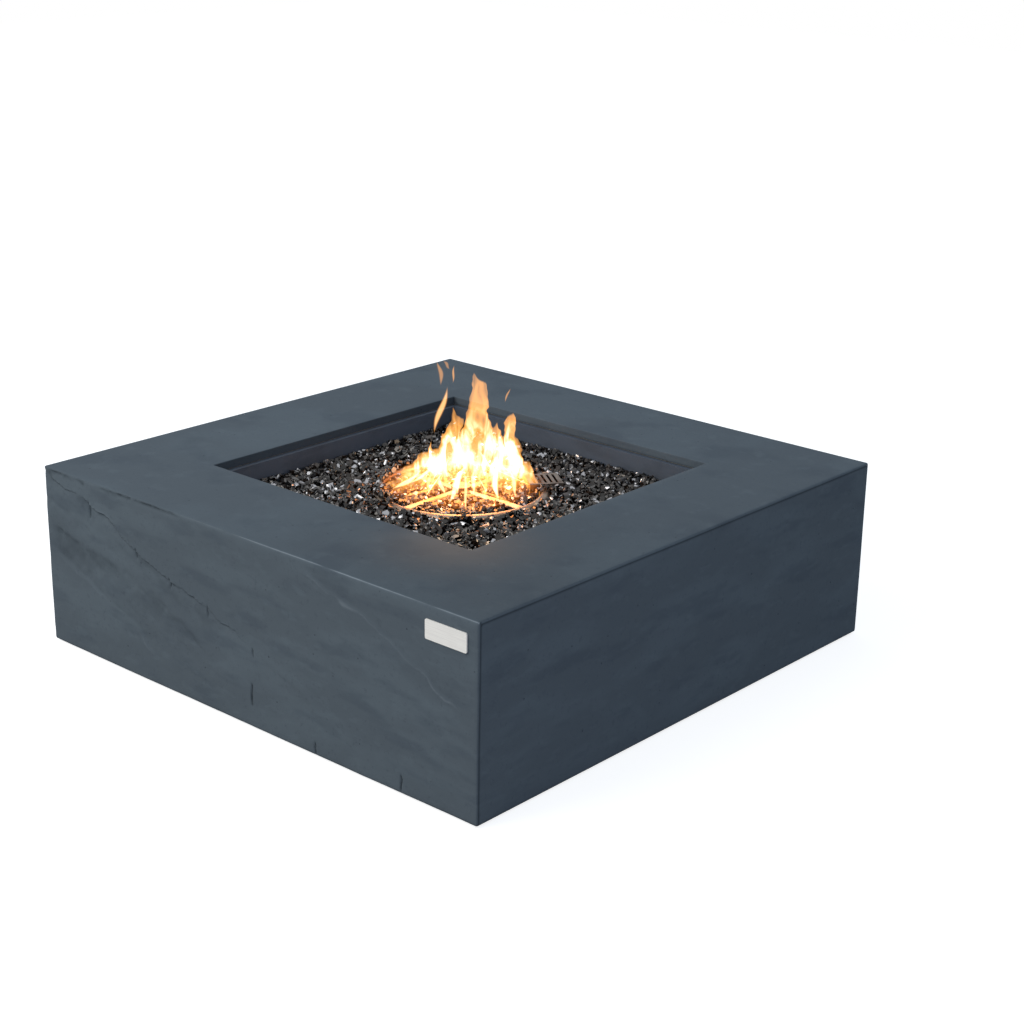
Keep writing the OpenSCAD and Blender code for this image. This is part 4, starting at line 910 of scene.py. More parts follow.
        # Painted shade on the opening's left side, and a painted shadow line along its lower edge.
        in_opening = (np.maximum(np.abs(x), np.abs(y)) == self.opening) & (z < self.top - self.opening_shade_gap)
        shaded_rim = in_opening & ((x == -self.opening) | (z == self.slab))
        # Painted shade that darkens the slab's top towards its front corner.
        corner_shading = np.exp(-(np.hypot(x - self.half, y + self.half) / self.corner_shade_reach) ** 2) * (z == self.top)
        return np.max([self.opening_shade * shaded_rim, self.under_edge * lines, self.corner_shade * corner_shading], axis=0)

    def build(self) -> bpy.types.Object:
        """Makes the shell, with its relief, its painted shade and its pale edges that are partly wear and
        partly a painted highlight, and puts it in place of the plain casting.

        Returns:
            The shell's object.
        """
        square, faces = self.points_and_faces()
        points = self.rounded(square)
        low, high = self.box()
        gaps = np.sort(np.minimum(square - low, high - square), axis=1)
        outer = gaps[:, 0] == 0
        swell = self.side_swell.at(square)
        for axis in (0, 1):
            side = outer & (np.abs(square[:, axis]) == self.half)
            points[side, axis] -= np.sign(square[side, axis]) * swell[side]
        face = square[:, 1] < -self.inner
        depth, dark, lip_highlight = np.zeros((3, len(points)))
        depth[face], dark[face], lip_highlight[face] = self.relief(square[face])
        share = np.clip((-self.inner - square[:, 1]) / (self.half - self.inner), 0, 1)
        points[:, 1] += depth * share
        # The pale edges are partly wear and partly a painted highlight, and the dark attribute is painted
        # shade.
        shell = add_mesh("slate_shell", points, faces, CONCRETE.material(), attributes={
            "worn_edge_and_highlight": np.clip(np.maximum(lip_highlight, self.wear_and_highlight(square, gaps)), 0, 1),
            "recess": np.maximum(dark * share, self.shade(square, outer)),
        })
        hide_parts("concrete_shell")
        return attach(shell, "table")


@dataclass(frozen=True)
class Coat:
    """One scattering of glass chips. Its sizes are in millimetres.

    Attributes:
        pitch: Step of the grid that the chips are strewn from.
        lift: Height of the chips' middles over the surface of the glass.
        least: Radius of the smallest chips.
        most: Radius of the largest chips.
        hugging: Whether only the chips close to a wall, the burner or the hood are kept.
    """

    pitch: float
    lift: float
    least: float
    most: float
    hugging: bool = False


@dataclass
class GlassBed:
    """Loose black fire glass: a dark bed in the pan with angular chips heaped on it.

    Attributes:
        half: Half of the side between the pan's walls. All sizes are in millimetres.
        floor: Height of the bed's underside.
        level: Height of the glass between the heaps.
        heap_pitch: Step of the square grid of heaps.
        heap_last: Number of the last heap in a row, from 0.
        heap_shift: Distance of a heap from its place on the grid.
        heap_turns_deg: Turn of the shift from row to row and from column to column.
        heap_radius: Radius of a heap's foot.
        heap_crown: Radius of a heap's flat top.
        heap_height: Height of a heap.
        ring: Radius of the burner's ring.
        ring_tube: Radius of the ring's tube.
        ring_height: Height of the ring's middle.
        ring_bank: Height of the glass heaped against the ring.
        ring_bank_place: Distance of the bank's crest outside the ring.
        ring_bank_width: Width of that bank.
        spoke_tube: Radius of the spokes' tubes.
        hub: Radius of the hub.
        hood_angle: Direction of the hood from the middle in degrees.
        hood_half: Half of the hood's size outwards and sideways.
        hood_bank: Height of the glass heaped against the hood.
        hood_bank_width: Width of that bank.
        coats: Scatterings of chips, from the lowest to the highest.
        jitter: Share of the step by which a chip strays from its grid.
        tumble: Spread of the chips' heights.
        bury: Share of a chip's radius that has to be clear of other pieces.
        hug_reach: Distance within which hugging chips are kept.
        resting: Number of chips that lie on the ring.
        resting_sizes: Least and greatest radius of those.
        resting_deg: Part of the ring on which they lie.
        resting_stray: Spread of their distance from the ring's middle line.
        resting_sink: Share of their radius that stands over the tube.
        sides: Sides of a chip.
        chip_half: Half of a chip's height, as a share of its radius.
        stretch: Least and greatest stretch of a chip along each axis.
        crook: Greatest stray of a chip's corners, as a share of its radius.
        seed: Number that picks the random draws.
        bed_step: Step of the bed's lattice.
        bed_room: Room that the bed leaves round other pieces.
        bed_margin: Width of the strip along the walls that is always filled.
        bed_sink: Depth of the bed below the surface of the glass.
        bed_top: Greatest height of the bed, which keeps it under the spokes.
    """

    half: float = 264.5
    floor: float = 186.0
    level: float = 245.3
    heap_pitch: float = 61.0
    heap_last: int = 7
    heap_shift: float = 3.0
    heap_turns_deg: tuple[float, float] = (137.0, 71.0)
    heap_radius: float = 27.0
    heap_crown: float = 13.0
    heap_height: float = 4.0
    ring: float = 133.0
    ring_tube: float = 8.0
    ring_height: float = 248.0
    ring_bank: float = 2.5
    ring_bank_place: float = 8.0
    ring_bank_width: float = 22.0
    spoke_tube: float = 6.5
    hub: float = 16.5
    hood_angle: float = 53.0
    hood_half: tuple[float, float] = (27.4, 28.6)
    hood_bank: float = 9.0
    hood_bank_width: float = 16.0
    coats: tuple[Coat, ...] = (
        Coat(pitch=10.5, lift=-4.0, least=7.5, most=10.5),
        Coat(pitch=10.5, lift=0.0, least=5.0, most=9.5),
        Coat(pitch=10.5, lift=1.5, least=3.5, most=6.0),
        Coat(pitch=4.6, lift=4.5, least=4.0, most=6.5, hugging=True),
    )
    jitter: float = 0.6
    tumble: float = 1.0
    bury: float = 0.9
    hug_reach: float = 6.0
    resting: int = 60
    resting_sizes: tuple[float, float] = (4.5, 7.5)
    resting_deg: tuple[float, float] = (120.0, 262.0)
    resting_stray: float = 4.0
    resting_sink: float = 0.85
    sides: int = 5
    chip_half: float = 0.7
    stretch: tuple[float, float] = (0.6, 1.05)
    crook: float = 0.2
    seed: int = 20
    bed_step: float = 10.0
    bed_room: float = 7.0
    bed_margin: float = 20.0
    bed_sink: float = 5.5
    bed_top: float = 238.5

    def surface(self, x: np.ndarray, y: np.ndarray) -> np.ndarray:
        """Height of the glass: blunt cones near the points of a square grid, and banks against ring and hood.

        A cone's height falls evenly from its crown to its foot. A bank is a bell curve of the distance.

        Args:
            x: Places along X in millimetres.
            y: Places along Y in millimetres.

        Returns:
            Heights in millimetres.
        """
        middle = self.heap_last / 2
        column, row = (np.clip(np.rint(v / self.heap_pitch + middle), 0, self.heap_last) for v in (x, y))
        turn = np.radians(self.heap_turns_deg[0] * row + self.heap_turns_deg[1] * column)
        away = np.hypot(x - self.heap_pitch * (column - middle) - self.heap_shift * np.cos(turn),
                        y - self.heap_pitch * (row - middle) - self.heap_shift * np.sin(turn))
        cone = np.clip((self.heap_radius - away) / (self.heap_radius - self.heap_crown), 0, 1)
        from_crest = np.hypot(x, y) - self.ring - self.ring_bank_place
        by_ring = self.ring_bank * np.exp(-(from_crest / self.ring_bank_width) ** 2)
        out, side = self.from_hood(x, y)
        beside = np.hypot(
            np.maximum(np.abs(out) - self.hood_half[0], 0), np.maximum(np.abs(side) - self.hood_half[1], 0))
        by_hood = self.hood_bank * np.exp(-(beside / self.hood_bank_width) ** 2)
        return self.level + self.heap_height * cone + np.maximum(by_ring, by_hood)

    def from_hood(self, x: np.ndarray, y: np.ndarray) -> tuple[np.ndarray, np.ndarray]:
        """Returns the distances outwards and sideways from the middle of the hood."""
        turn = math.radians(self.hood_angle)
        return x * math.cos(turn) + y * math.sin(turn) - self.ring, y * math.cos(turn) - x * math.sin(turn)

    def clear_of(self, place: np.ndarray, room: np.ndarray) -> np.ndarray:
        """Whether balls round the places miss the pan walls, the burner and the hood.

        Args:
            place: Places in millimetres.
            room: Radius of the ball at each place.

        Returns:
            Truth value for each place.
        """
        x, y, up = place[:, 0], place[:, 1], place[:, 2] - self.ring_height
        far = np.hypot(x, y)
        clear = np.maximum(np.abs(x), np.abs(y)) + room < self.half
        clear &= np.hypot(far - self.ring, up) > self.ring_tube + room
        for across, along in ((x, y), (y, x)):
            clear &= (np.hypot(across, up) > self.spoke_tube + room) | (np.abs(along) > self.ring)
        clear &= far > self.hub + room
        out, side = self.from_hood(x, y)
        return clear & ((np.abs(out) > self.hood_half[0] + room) | (np.abs(side) > self.hood_half[1] + room))

    def strewn(self, draw: np.random.Generator, coat: Coat) -> tuple[np.ndarray, np.ndarray]:
        """Chips strewn from a grid, each off its place by a random share of the step.

        Args:
            draw: Random numbers.
            coat: How the chips lie.

        Returns:
            Places and radii in millimetres.
        """
        lines = np.arange(-self.half, self.half, coat.pitch)
        grid = np.stack(np.meshgrid(lines, lines), axis=-1).reshape(-1, 2)
        grid = grid + draw.uniform(-self.jitter, self.jitter, grid.shape) * (lines[1] - lines[0])
        size = draw.uniform(coat.least, coat.most, len(grid))
        up = self.surface(grid[:, 0], grid[:, 1]) + coat.lift + draw.normal(0, self.tumble, len(grid))
        place = np.column_stack([grid, up])
        keep = self.clear_of(place, size * self.bury)
        if coat.hugging:
            keep &= ~self.clear_of(place, size + self.hug_reach)
        return place[keep], size[keep]

    def laid(self, draw: np.random.Generator) -> tuple[np.ndarray, np.ndarray]:
        """Chips that lie on the ring, at random places along a part of it.

        Args:
            draw: Random numbers.

        Returns:
            Places and radii in millimetres.
        """
        size = draw.uniform(*self.resting_sizes, self.resting)
        turn = np.radians(draw.uniform(*self.resting_deg, self.resting))
        reach = self.ring + draw.normal(0, self.resting_stray, self.resting)
        up = self.ring_height + self.ring_tube + self.resting_sink * size
        return np.column_stack([reach * np.cos(turn), reach * np.sin(turn), up]), size

    def chips(self) -> tuple[np.ndarray, list[np.ndarray], dict[str, np.ndarray]]:
        """Crooked five-sided prisms: upright ones, stretched, with strayed corners, and turned at random.

        Returns:
            Points in millimetres, faces, and the tone of each chip and each facet.
        """
        draw = np.random.default_rng(self.seed)
        heaps = [self.strewn(draw, coat) for coat in self.coats]
        heaps.append(self.laid(draw))
        place, size = (np.concatenate(rows) for rows in zip(*heaps))
        count = len(place)
        angles = 2 * np.pi * np.arange(self.sides) / self.sides
        corner = np.column_stack([np.cos(angles), np.sin(angles), np.full(self.sides, -self.chip_half)])
        prism = np.concatenate([corner, corner + (0, 0, 2 * self.chip_half)])
        shape = prism * draw.uniform(*self.stretch, (count, 1, 3))
        shape += draw.uniform(-self.crook, self.crook, (count, 2 * self.sides, 3))
        shape /= np.linalg.norm(shape, axis=2).max(axis=1)[:, None, None]
        turned = self.turns(draw, count) @ shape.transpose(0, 2, 1)
        points = place[:, None] + turned.transpose(0, 2, 1) * size[:, None, None]
        first = np.arange(self.sides)
        after = np.roll(first, -1)
        walls = np.column_stack([first, after, after + self.sides, first + self.sides])
        ends = np.stack([first[::-1], first + self.sides])
        start = (2 * self.sides * np.arange(count))[:, None, None]
        faces = [(walls + start).reshape(-1, 4), (ends + start).reshape(-1, self.sides)]
        tones = {
            "chip_tone": np.repeat(draw.uniform(0, 1, count), 2 * self.sides),
            "facet_tone": draw.uniform(0, 1, sum(len(f) for f in faces)),
        }
        return points.reshape(-1, 3), faces, tones

    @staticmethod
    def turns(draw: np.random.Generator, count: int) -> np.ndarray:
        """Random rotations from unit quaternions.

        Args:
            draw: Random numbers.
            count: How many rotations.

        Returns:
            Rotation matrices as an array of count by 3 by 3.
        """
        q = draw.normal(size=(count, 4))
        w, x, y, z = (q / np.linalg.norm(q, axis=1, keepdims=True)).T
        rows = [1 - 2 * (y * y + z * z), 2 * (x * y - z * w), 2 * (x * z + y * w),
                2 * (x * y + z * w), 1 - 2 * (x * x + z * z), 2 * (y * z - x * w),
                2 * (x * z - y * w), 2 * (y * z + x * w), 1 - 2 * (x * x + y * y)]
        return np.stack(rows, axis=1).reshape(-1, 3, 3)

    def bed(self) -> tuple[np.ndarray, list[np.ndarray]]:
        """Block under the chips with a humped top, left open where the hub and the hood stand.

        Returns:
            Points in millimetres and faces.
        """
        line, _ = grid_lines([-self.half, self.half], self.bed_step)
        middle = (line[1:] + line[:-1]) / 2
        cx, cy = (c.ravel() for c in np.meshgrid(middle, middle, indexing="ij"))
        place = np.column_stack([cx, cy, np.full(len(cx), self.floor)])
        by_wall = np.maximum(np.abs(cx), np.abs(cy)) > self.half - self.bed_margin
        filled = self.clear_of(place, np.full(len(cx), self.bed_room)) | by_wall
        numbers, faces = merge_corners(boundary_faces(filled.reshape(len(middle), len(middle), 1)))
        x, y = line[numbers[:, 0]], line[numbers[:, 1]]
        humped = np.minimum(self.surface(x, y) - self.bed_sink, self.bed_top)
        return np.column_stack([x, y, np.where(numbers[:, 2] == 0, self.floor, humped)]), faces

    def build(self) -> list[bpy.types.Object]:
        """Makes the bed and the chips, which stand for the plain block of glass.

        Returns:
            The two objects.
        """
        points, faces, tones = self.chips()
        chips = add_mesh(
            "fire_glass_chips", points, faces, GLASS.material(), sharp_deg=80.0, attributes=tones)
        bed = add_mesh("fire_glass_bed", *self.bed(), GLASS_BED.material(), sharp_deg=60.0)
        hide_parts("fire_glass")
        made = [chips, bed]
        for piece in made:
            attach(piece, "table")
        return made


def revolve(
        profile: Sequence[tuple[float, float]], sides: int, scallops: int = 0, depth: float = 0.0,
        grip: tuple[float, float] = (0.0, 0.0)) -> tuple[np.ndarray, list[np.ndarray]]:
    """A profile turned about Z: each row is a ring whose radius dips at the scallops.

    The dip is the depth times the fourth power of a cosine, which has two bows to each scallop.

    Args:
        profile: Height and radius of each ring, from one pole to the other, both of radius 0.
        sides: Points round a ring.
        scallops: Hollows round the turned shape.
        depth: Depth of the hollows in millimetres.
        grip: Heights between which the hollows run.

    Returns:
        Points in millimetres and faces, closed at the poles.
    """
    height, radius = np.array(profile, float).T
    angle = 2 * np.pi * np.arange(sides) / sides
    held = ((height >= grip[0]) & (height <= grip[1]) & (radius > 0)).astype(float)
    dip = depth * held[:, None] * np.cos(scallops * angle / 2) ** 4
    reach = np.where(radius[:, None] > 0, radius[:, None] - dip, 0)
    rise = np.broadcast_to(height[:, None], reach.shape)
    points = np.stack([reach * np.cos(angle), reach * np.sin(angle), rise], axis=-1)
    rings = len(height)
    number = np.arange(rings * sides).reshape(rings, sides)
    number[0], number[-1] = number[0, 0], number[-1, 0]
    after = np.roll(number, -1, axis=1)
    squares = np.stack([number[:-1], after[:-1], after[1:], number[1:]], axis=-1)
    faces = [squares[0][:, [0, 2, 3]], squares[1:-1].reshape(-1, 4), squares[-1][:, [0, 1, 2]]]
    used, order = np.unique(np.concatenate([f.ravel() for f in faces]), return_inverse=True)
    cuts = np.cumsum([f.size for f in faces])[:-1]
    faces = [part.reshape(-1, f.shape[1]) for part, f in zip(np.split(order.ravel(), cuts), faces)]
    return points.reshape(-1, 3)[used], faces


@dataclass
class Controls:
    """The pieces that a hand moves: the fluted valve knob and the igniter button.

    Attributes:
        panel: Place of the panel's face along Y. All sizes are in millimetres.
        height: Height of the controls' axes.
        igniter: Place of the button along X; the knob is in the middle.
        knob_sides: Points round the knob.
        scallops: Flutes of the knob.
        flute: Depth of the flutes.
        grip: Distances from the panel between which the flutes run.
        button_sides: Points round the button.
        sharp_deg: Edges that turn by more than this stay sharp.
        knob_profile: Distance from the panel and radius of the knob's rings.
        button_profile: Distance from the panel and radius of the button's rings.
    """

    panel: float = 426.0
    height: float = 130.0
    igniter: float = -60.0
    knob_sides: int = 216
    scallops: int = 18
    flute: float = 1.5
    grip: tuple[float, float] = (6.4, 26.5)
    button_sides: int = 64
    sharp_deg: float = 40.0
    knob_profile: tuple[tuple[float, float], ...] = (
        (12.0, 0.0), (12.0, 15.4), (11.4, 16.0), (6.4, 16.0), (6.0, 16.6), (6.0, 20.6), (6.5, 21.5),
        (7.4, 22.0), (11.0, 22.0), (17.0, 21.7), (24.0, 21.3), (26.0, 21.1), (27.0, 20.7), (27.6, 20.2),
        (27.8, 19.6), (27.4, 18.4), (27.3, 9.0), (27.3, 0.0),
    )
    button_profile: tuple[tuple[float, float], ...] = (
        (-8.0, 0.0), (-8.0, 7.6), (-7.6, 7.95), (-2.4, 7.95), (-2.0, 7.6), (-2.0, 6.95), (9.4, 6.95),
        (10.2, 6.8), (10.8, 6.3), (11.0, 5.6), (10.7, 4.6), (10.3, 2.6), (10.15, 0.0),
    )

    def placed(self, points: np.ndarray, x: float) -> np.ndarray:
        """Returns points round Z turned to stick out of the rear panel, at a place along it."""
        return np.column_stack([points[:, 0] + x, points[:, 2] + self.panel, self.height - points[:, 1]])

    def build(self) -> list[bpy.types.Object]:
        """Makes the knob and the button, each on its own moving body.

        Returns:
            The two objects.
        """
        points, faces = revolve(self.knob_profile, self.knob_sides, self.scallops, self.flute, self.grip)
        points = self.placed(points, 0.0)
        knob = add_mesh("fluted_knob", points, faces, BLACK_PLASTIC.material(), self.sharp_deg)
        points, faces = revolve(self.button_profile, self.button_sides)
        points = self.placed(points, self.igniter)
        button = add_mesh("dished_button", points, faces, RED_PLASTIC.material(), self.sharp_deg)
        for piece, node, slot, body in ((knob, "control_knob", "black_plastic", "knob"),
                                        (button, "igniter_button", "red_plastic", "button")):
            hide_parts(node)
            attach(piece, body)
        return [knob, button]


@dataclass
class ReturnSpring:
    """A coil that a control presses. It is drawn here as a swept helix with a mesh of its own.

    Attributes:
        name: Name of the coil.
        node: CAD node that it stands for.
        joint: Joint of the control that presses it; not used.
        travel: Way that the control goes in millimetres; not used.
        radius: Mean radius of the coil.
        wire: Radius of the wire.
        turns: Turns of the coil.
        steps: Rings of the wire in a turn.
        sides: Points round the wire.
    """

    name: str
    node: str
    joint: str
    travel: float
    radius: float
    wire: float = 0.6
    turns: int = 5
    steps: int = 24
    sides: int = 8

    def build(self) -> bpy.types.Object:
        """Sweeps the wire along a helix: rings of points go round the axis along Y and climb evenly.

        Returns:
            The coil's object.
        """
        low, high = (np.array(corner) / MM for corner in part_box(self.node))
        middle, length = (low + high) / 2, high[1] - low[1]
        way = np.linspace(0, 1, self.steps * self.turns + 1)[:, None]
        turn, bend = 2 * np.pi * self.turns * way, 2 * np.pi * np.arange(self.sides) / self.sides
        reach = self.radius + self.wire * np.cos(bend)
        climb = low[1] + self.wire * (1 + np.sin(bend)) + (length - 2 * self.wire) * way
        x, z = middle[0] + reach * np.cos(turn), middle[2] - reach * np.sin(turn)
        points = np.stack([x, climb, z], axis=-1).reshape(-1, 3)
        number = np.arange(len(points)).reshape(-1, self.sides)
        after = np.roll(number, -1, axis=1)
        walls = np.stack([number[:-1], number[1:], after[1:], after[:-1]], axis=-1).reshape(-1, 4)
        ends = np.stack([number[0], number[-1, ::-1]])
        coil = add_mesh(self.name, points, [walls, ends], SPRING_STEEL.material(), sharp_deg=50.0)
        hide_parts(self.node)
        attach(coil, "table")
        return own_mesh(coil)


@dataclass(frozen=True)
class Flicker:
    """A noise over a lamp, and the numbers that it is turned into.

    Attributes:
        across: Width of its patches in millimetres.
        up: Height of its patches in millimetres.
        twist: How much the patches are twisted.
        reach: Values of the noise that give the least and the greatest number.
        least: The least number.
        most: The greatest number.
    """

    across: float
    up: float
    twist: float
    reach: tuple[float, float]
    least: float
    most: float

    def value(
            self, tree: bpy.types.NodeTree, coords: bpy.types.NodeSocket,
            unit: float = 1.0) -> bpy.types.NodeSocket:
        """Adds the noise's nodes.

        Args:
            tree: Node tree of the lamp.
            coords: Coordinates on the lamp in metres.
            unit: What a number of 1 is turned into.

        Returns:
            Socket with the number.
        """
        per_metre = (1 / (MM * self.across), 1 / (MM * self.up), 1)
        scaled = add_node(tree, "Mapping", {"Vector": coords, "Scale": per_metre})
        noise = add_node(tree, "TexNoise", {
            "Vector": scaled.outputs[0], "Scale": 1.0, "Distortion": self.twist})
        ranged = add_node(tree, "MapRange", {
            "Value": noise.outputs[0], "From Min": self.reach[0], "From Max": self.reach[1],
            "To Min": unit * self.least, "To Max": unit * self.most})
        return ranged.outputs[0]


@dataclass
class GasFlames:
    """Burning gas over the ring. It is light and no piece of the table, so it is made of lamps that show.

    A set of lamps faces each of four ways: one sheet that glows inside the outline of the fire, and slender
    tongues. Places are sideways, depth and height in millimetres, as seen from the side that a set faces.

    Attributes:
        right: Direction along the first set, as X and Y.
        turns_deg: Turns of the sets about the table's axis.
        colour: Colour of the flames.
        core: Colour of their hottest parts.
        ember: Colour of the gas that burns low over the ring.
        half_width: Half of the sheet's width.
        low: Height of the sheet's lower edge.
        high: Height of the sheet's upper edge.
        hottest: Brightness at the top of the curve for the heat.
        waver: How far the sheet's outline is jogged sideways.
        streaks: Streaks of light and dark in the sheet.
        soft_edge: Distance over which the sheet goes out at its outline.
        core_depth: Distance from the outline at which the core has its full heat.
        edge_level: Brightness just inside the outline.
        white: Brightness at which the core's colour starts and is full.
        sway: Sideways sway of a tongue, as a share of its half width.
        sway_turn: Phase of the sway from the tongue's foot to its tip.
        phase_step: Phase of the sway from one tongue to the next.
        girth: Half width of a tongue's glow at its middle, as a share of the lamp's.
        tongue_edge: Share of the half width over which a tongue goes out.
        bed_radius: Radius of the glow low over the ring.
        bed_height: Height of that glow.
        bed_level: Its brightness.
        bed_patches: Its patches of light and dark.
        bed_rim: Share of its radius from which it thins out.
        watts: Power of a lamp of brightness 1, which its nodes make up for.
        cast_colour: Colour of the light that the fire casts.
        cast: Height and power of the two lamps that cast it: a disk down on the glass, and a point all round.
        cast_size: Width of the first of them in metres.
        cast_spread_deg: Spread of its light.
        sheen_place: Place of the lamp over the slab, in metres.
        sheen_watts: Its power.
        sheen_deg: Width of its cone.
        sheen_size: Its radius in metres.
        outline: Sideways place and height of the fire's outline.
        heat: Height and brightness of the fire's core.
        tongues: Foot and tip of each tongue, its width and its brightness.
    """

    right: tuple[float, float] = (0.73200, 0.68130)
    turns_deg: tuple[float, ...] = (0.0, 90.0, 180.0, 270.0)
    colour: str = "#ffae55"
    core: str = "#ffdcae"
    ember: str = "#ff8a30"
    half_width: float = 130.0
    low: float = 240.0
    high: float = 470.0
    hottest: float = 6.0
    waver: Flicker = Flicker(24.0, 38.0, twist=0.0, reach=(0.3, 0.7), least=-6.0, most=6.0)
    streaks: Flicker = Flicker(17.0, 54.0, twist=1.1, reach=(0.36, 0.62), least=0.55, most=1.25)
    soft_edge: float = 4.0
    core_depth: float = 26.0
    edge_level: float = 0.7
    white: tuple[float, float] = (1.2, 2.3)
    sway: float = 0.3
    sway_turn: float = 6.0
    phase_step: float = 1.7
    girth: float = 0.7
    tongue_edge: float = 0.45
    bed_radius: float = 132.0
    bed_height: float = 262.0
    bed_level: float = 0.24
    bed_patches: Flicker = Flicker(16.0, 16.0, twist=0.8, reach=(0.38, 0.66), least=0.35, most=1.8)
    bed_rim: float = 0.8
    watts: float = 0.01
    cast_colour: str = "#ff9844"
    cast: tuple[tuple[float, float], tuple[float, float]] = ((312.0, 1.75), (400.0, 0.16))
    cast_size: float = 0.2
    cast_spread_deg: float = 130.0
    sheen_place: tuple[float, float, float] = (0.245, -0.270, 0.60)
    sheen_watts: float = 2.5
    sheen_deg: float = 46.0
    sheen_size: float = 0.06
    outline: tuple[tuple[float, float], ...] = (
        (-130, 240), (-118, 258), (-108, 268), (-97, 277), (-87, 290), (-76, 297), (-70, 309), (-60, 314),
        (-53, 315), (-50, 333), (-46, 319), (-34, 321), (-28, 333), (-21, 360), (-14, 389), (-9, 376),
        (0, 369), (2, 348), (5, 378), (12, 398), (14, 438), (18, 444), (26, 434), (37, 428), (41, 405),
        (43, 378), (48, 355), (61, 364), (65, 334), (69, 374), (82, 380), (85, 345), (90, 330), (96, 318),
        (98, 301), (110, 300), (114, 278), (121, 258), (130, 240),
    )
    heat: tuple[tuple[float, float], ...] = (
        (240, 0.2), (256, 0.5), (266, 0.9), (277, 1.7), (290, 2.4), (304, 2.5), (318, 2.4), (334, 2.1),
        (346, 1.75), (358, 1.4), (374, 1.15), (400, 0.9), (445, 0.75), (470, 0.5),
    )
    tongues: tuple[tuple[float, ...], ...] = (
        (-22, -84, 254, 2, -30, 296, 17, 1.8), (-9, -48, 258, 4, -28, 304, 15, 2.1),
        (9, -121, 252, 4, -30, 294, 9, 1.5), (92, -90, 254, 17, -30, 266, 7, 1.0),
        (17, -38, 254, 21, -25, 296, 12, 1.7), (57, -60, 252, 52, -25, 304, 18, 2.4),
        (88, -48, 253, 74, -25, 296, 13, 1.6), (106, -12, 255, 88, -4, 292, 13, 1.0),
        (-26, -42, 253, -36, -25, 288, 12, 1.6), (-96, -57, 255, -41, -28, 264, 8, 1.0),
        (-110, -25, 256, -60, -20, 290, 14, 1.7), (34, -70, 254, 40, -28, 290, 9, 1.0),
        (-52, -40, 253, -48, -24, 290, 11, 1.3), (-43, -5, 343, -23, -5, 424, 16, 1.3),
        (-31, -6, 422, -38, -6, 464, 12, 0.5), (-15, -5, 426, -12, -5, 457, 6, 0.7),
        (66, -5, 396, 75, -5, 421, 5, 0.6), (-18, -6, 450, -30, -6, 463, 9, 0.4),
    )

    def lamp(self, name: str, size: tuple[float, float], level: float) -> bpy.types.Light:
        """Makes a lamp of one brightness all over its rectangle, whatever its size.

        Args:
            name: Name of the lamp.
            size: Width and height in millimetres.
            level: Brightness, where 1 is the colour itself.

        Returns:
            The lamp, with a node tree of its own.
        """
        made = bpy.data.lights.new(name, "AREA")
        made.shape = "RECTANGLE"
        made.size, made.size_y = (side * MM for side in size)
        made.energy = self.watts * level
        made.normalize = False
        made.use_nodes = True
        made.node_tree.nodes["Emission"].inputs["Color"].default_value = linear(self.colour)
        return made

    def glow(self, made: bpy.types.Light, strength: bpy.types.NodeSocket) -> None:
        """Lets a pattern shape a lamp: pi over the watts turns the pattern into plain brightness.

        Args:
            made: The lamp.
            strength: Pattern, where 1 is the lamp's own level.
        """
        tree = made.node_tree
        scaled = add_node(tree, "Math", {0: strength, 1: math.pi / self.watts}, operation="MULTIPLY")
        tree.links.new(scaled.outputs[0], tree.nodes["Emission"].inputs["Strength"])

    def whiten(self, made: bpy.types.Light, share: bpy.types.NodeSocket) -> None:
        """Lets a pattern turn a lamp's colour into the core's.

        Args:
            made: The lamp.
            share: Pattern, where 1 is all core.
        """
        tree = made.node_tree
        colours = {0: share, 6: linear(self.colour), 7: linear(self.core)}
        tint = add_node(tree, "Mix", colours, data_type="RGBA")
        tree.links.new(tint.outputs[2], tree.nodes["Emission"].inputs["Color"])

    def sheet(self, name: str) -> bpy.types.Light:
        """A glowing sheet: bright below a jogged outline, orange at its edge and white-hot low inside.

        Two curves give the height of the outline for each place along it, and the heat for each height.

        Args:
            name: Name of the lamp.

        Returns:
            The lamp.
        """
        width, height = 2 * self.half_width, self.high - self.low
        made = self.lamp(name, (width, height), 1.0)
        tree = made.node_tree
        coords = add_node(tree, "TexCoord").outputs["Object"]
        shares = add_node(tree, "Mapping", {
            "Vector": coords, "Location": (0.5, 0.5, 0), "Scale": (-1 / (MM * width), 1 / (MM * height), 1)})
        place = add_node(tree, "SeparateXYZ", {0: shares.outputs[0]}).outputs
        jog = self.waver.value(tree, coords, 1 / width)
        jogged = add_node(tree, "Math", {0: place["X"], 1: jog}, operation="ADD")
        crest = add_node(tree, "FloatCurve", {"Value": jogged.outputs[0]})
        heat = add_node(tree, "FloatCurve", {"Value": place["Y"]})
        crest_points = [((a + self.half_width) / width, (z - self.low) / height) for a, z in self.outline]
        heat_points = [((z - self.low) / height, level / self.hottest) for z, level in self.heat]
        for node, points in ((crest, crest_points), (heat, heat_points)):
            line = node.mapping.curves[0].points
            for point in points[1:-1]:
                line.new(*point)
            line[0].location, line[-1].location = points[0], points[-1]
            for point in line:
                point.handle_type = "VECTOR"
            node.mapping.update()
        inside = add_node(tree, "Math", {0: crest.outputs[0], 1: place["Y"]}, operation="SUBTRACT").outputs[0]
        edge, deep = (
            add_node(
                tree, "MapRange", {"Value": inside, "From Max": way / height},
                interpolation_type="SMOOTHSTEP")
            for way in (self.soft_edge, self.core_depth)
        )
        hot = add_node(tree, "Math", {0: heat.outputs[0], 1: self.hottest}, operation="MULTIPLY")
        levels = {0: deep.outputs[0], 2: self.edge_level, 3: hot.outputs[0]}
        core = add_node(tree, "Mix", levels, data_type="FLOAT")
        streaks = self.streaks.value(tree, coords)
        lit = add_node(tree, "Math", {0: core.outputs[0], 1: streaks}, operation="MULTIPLY")
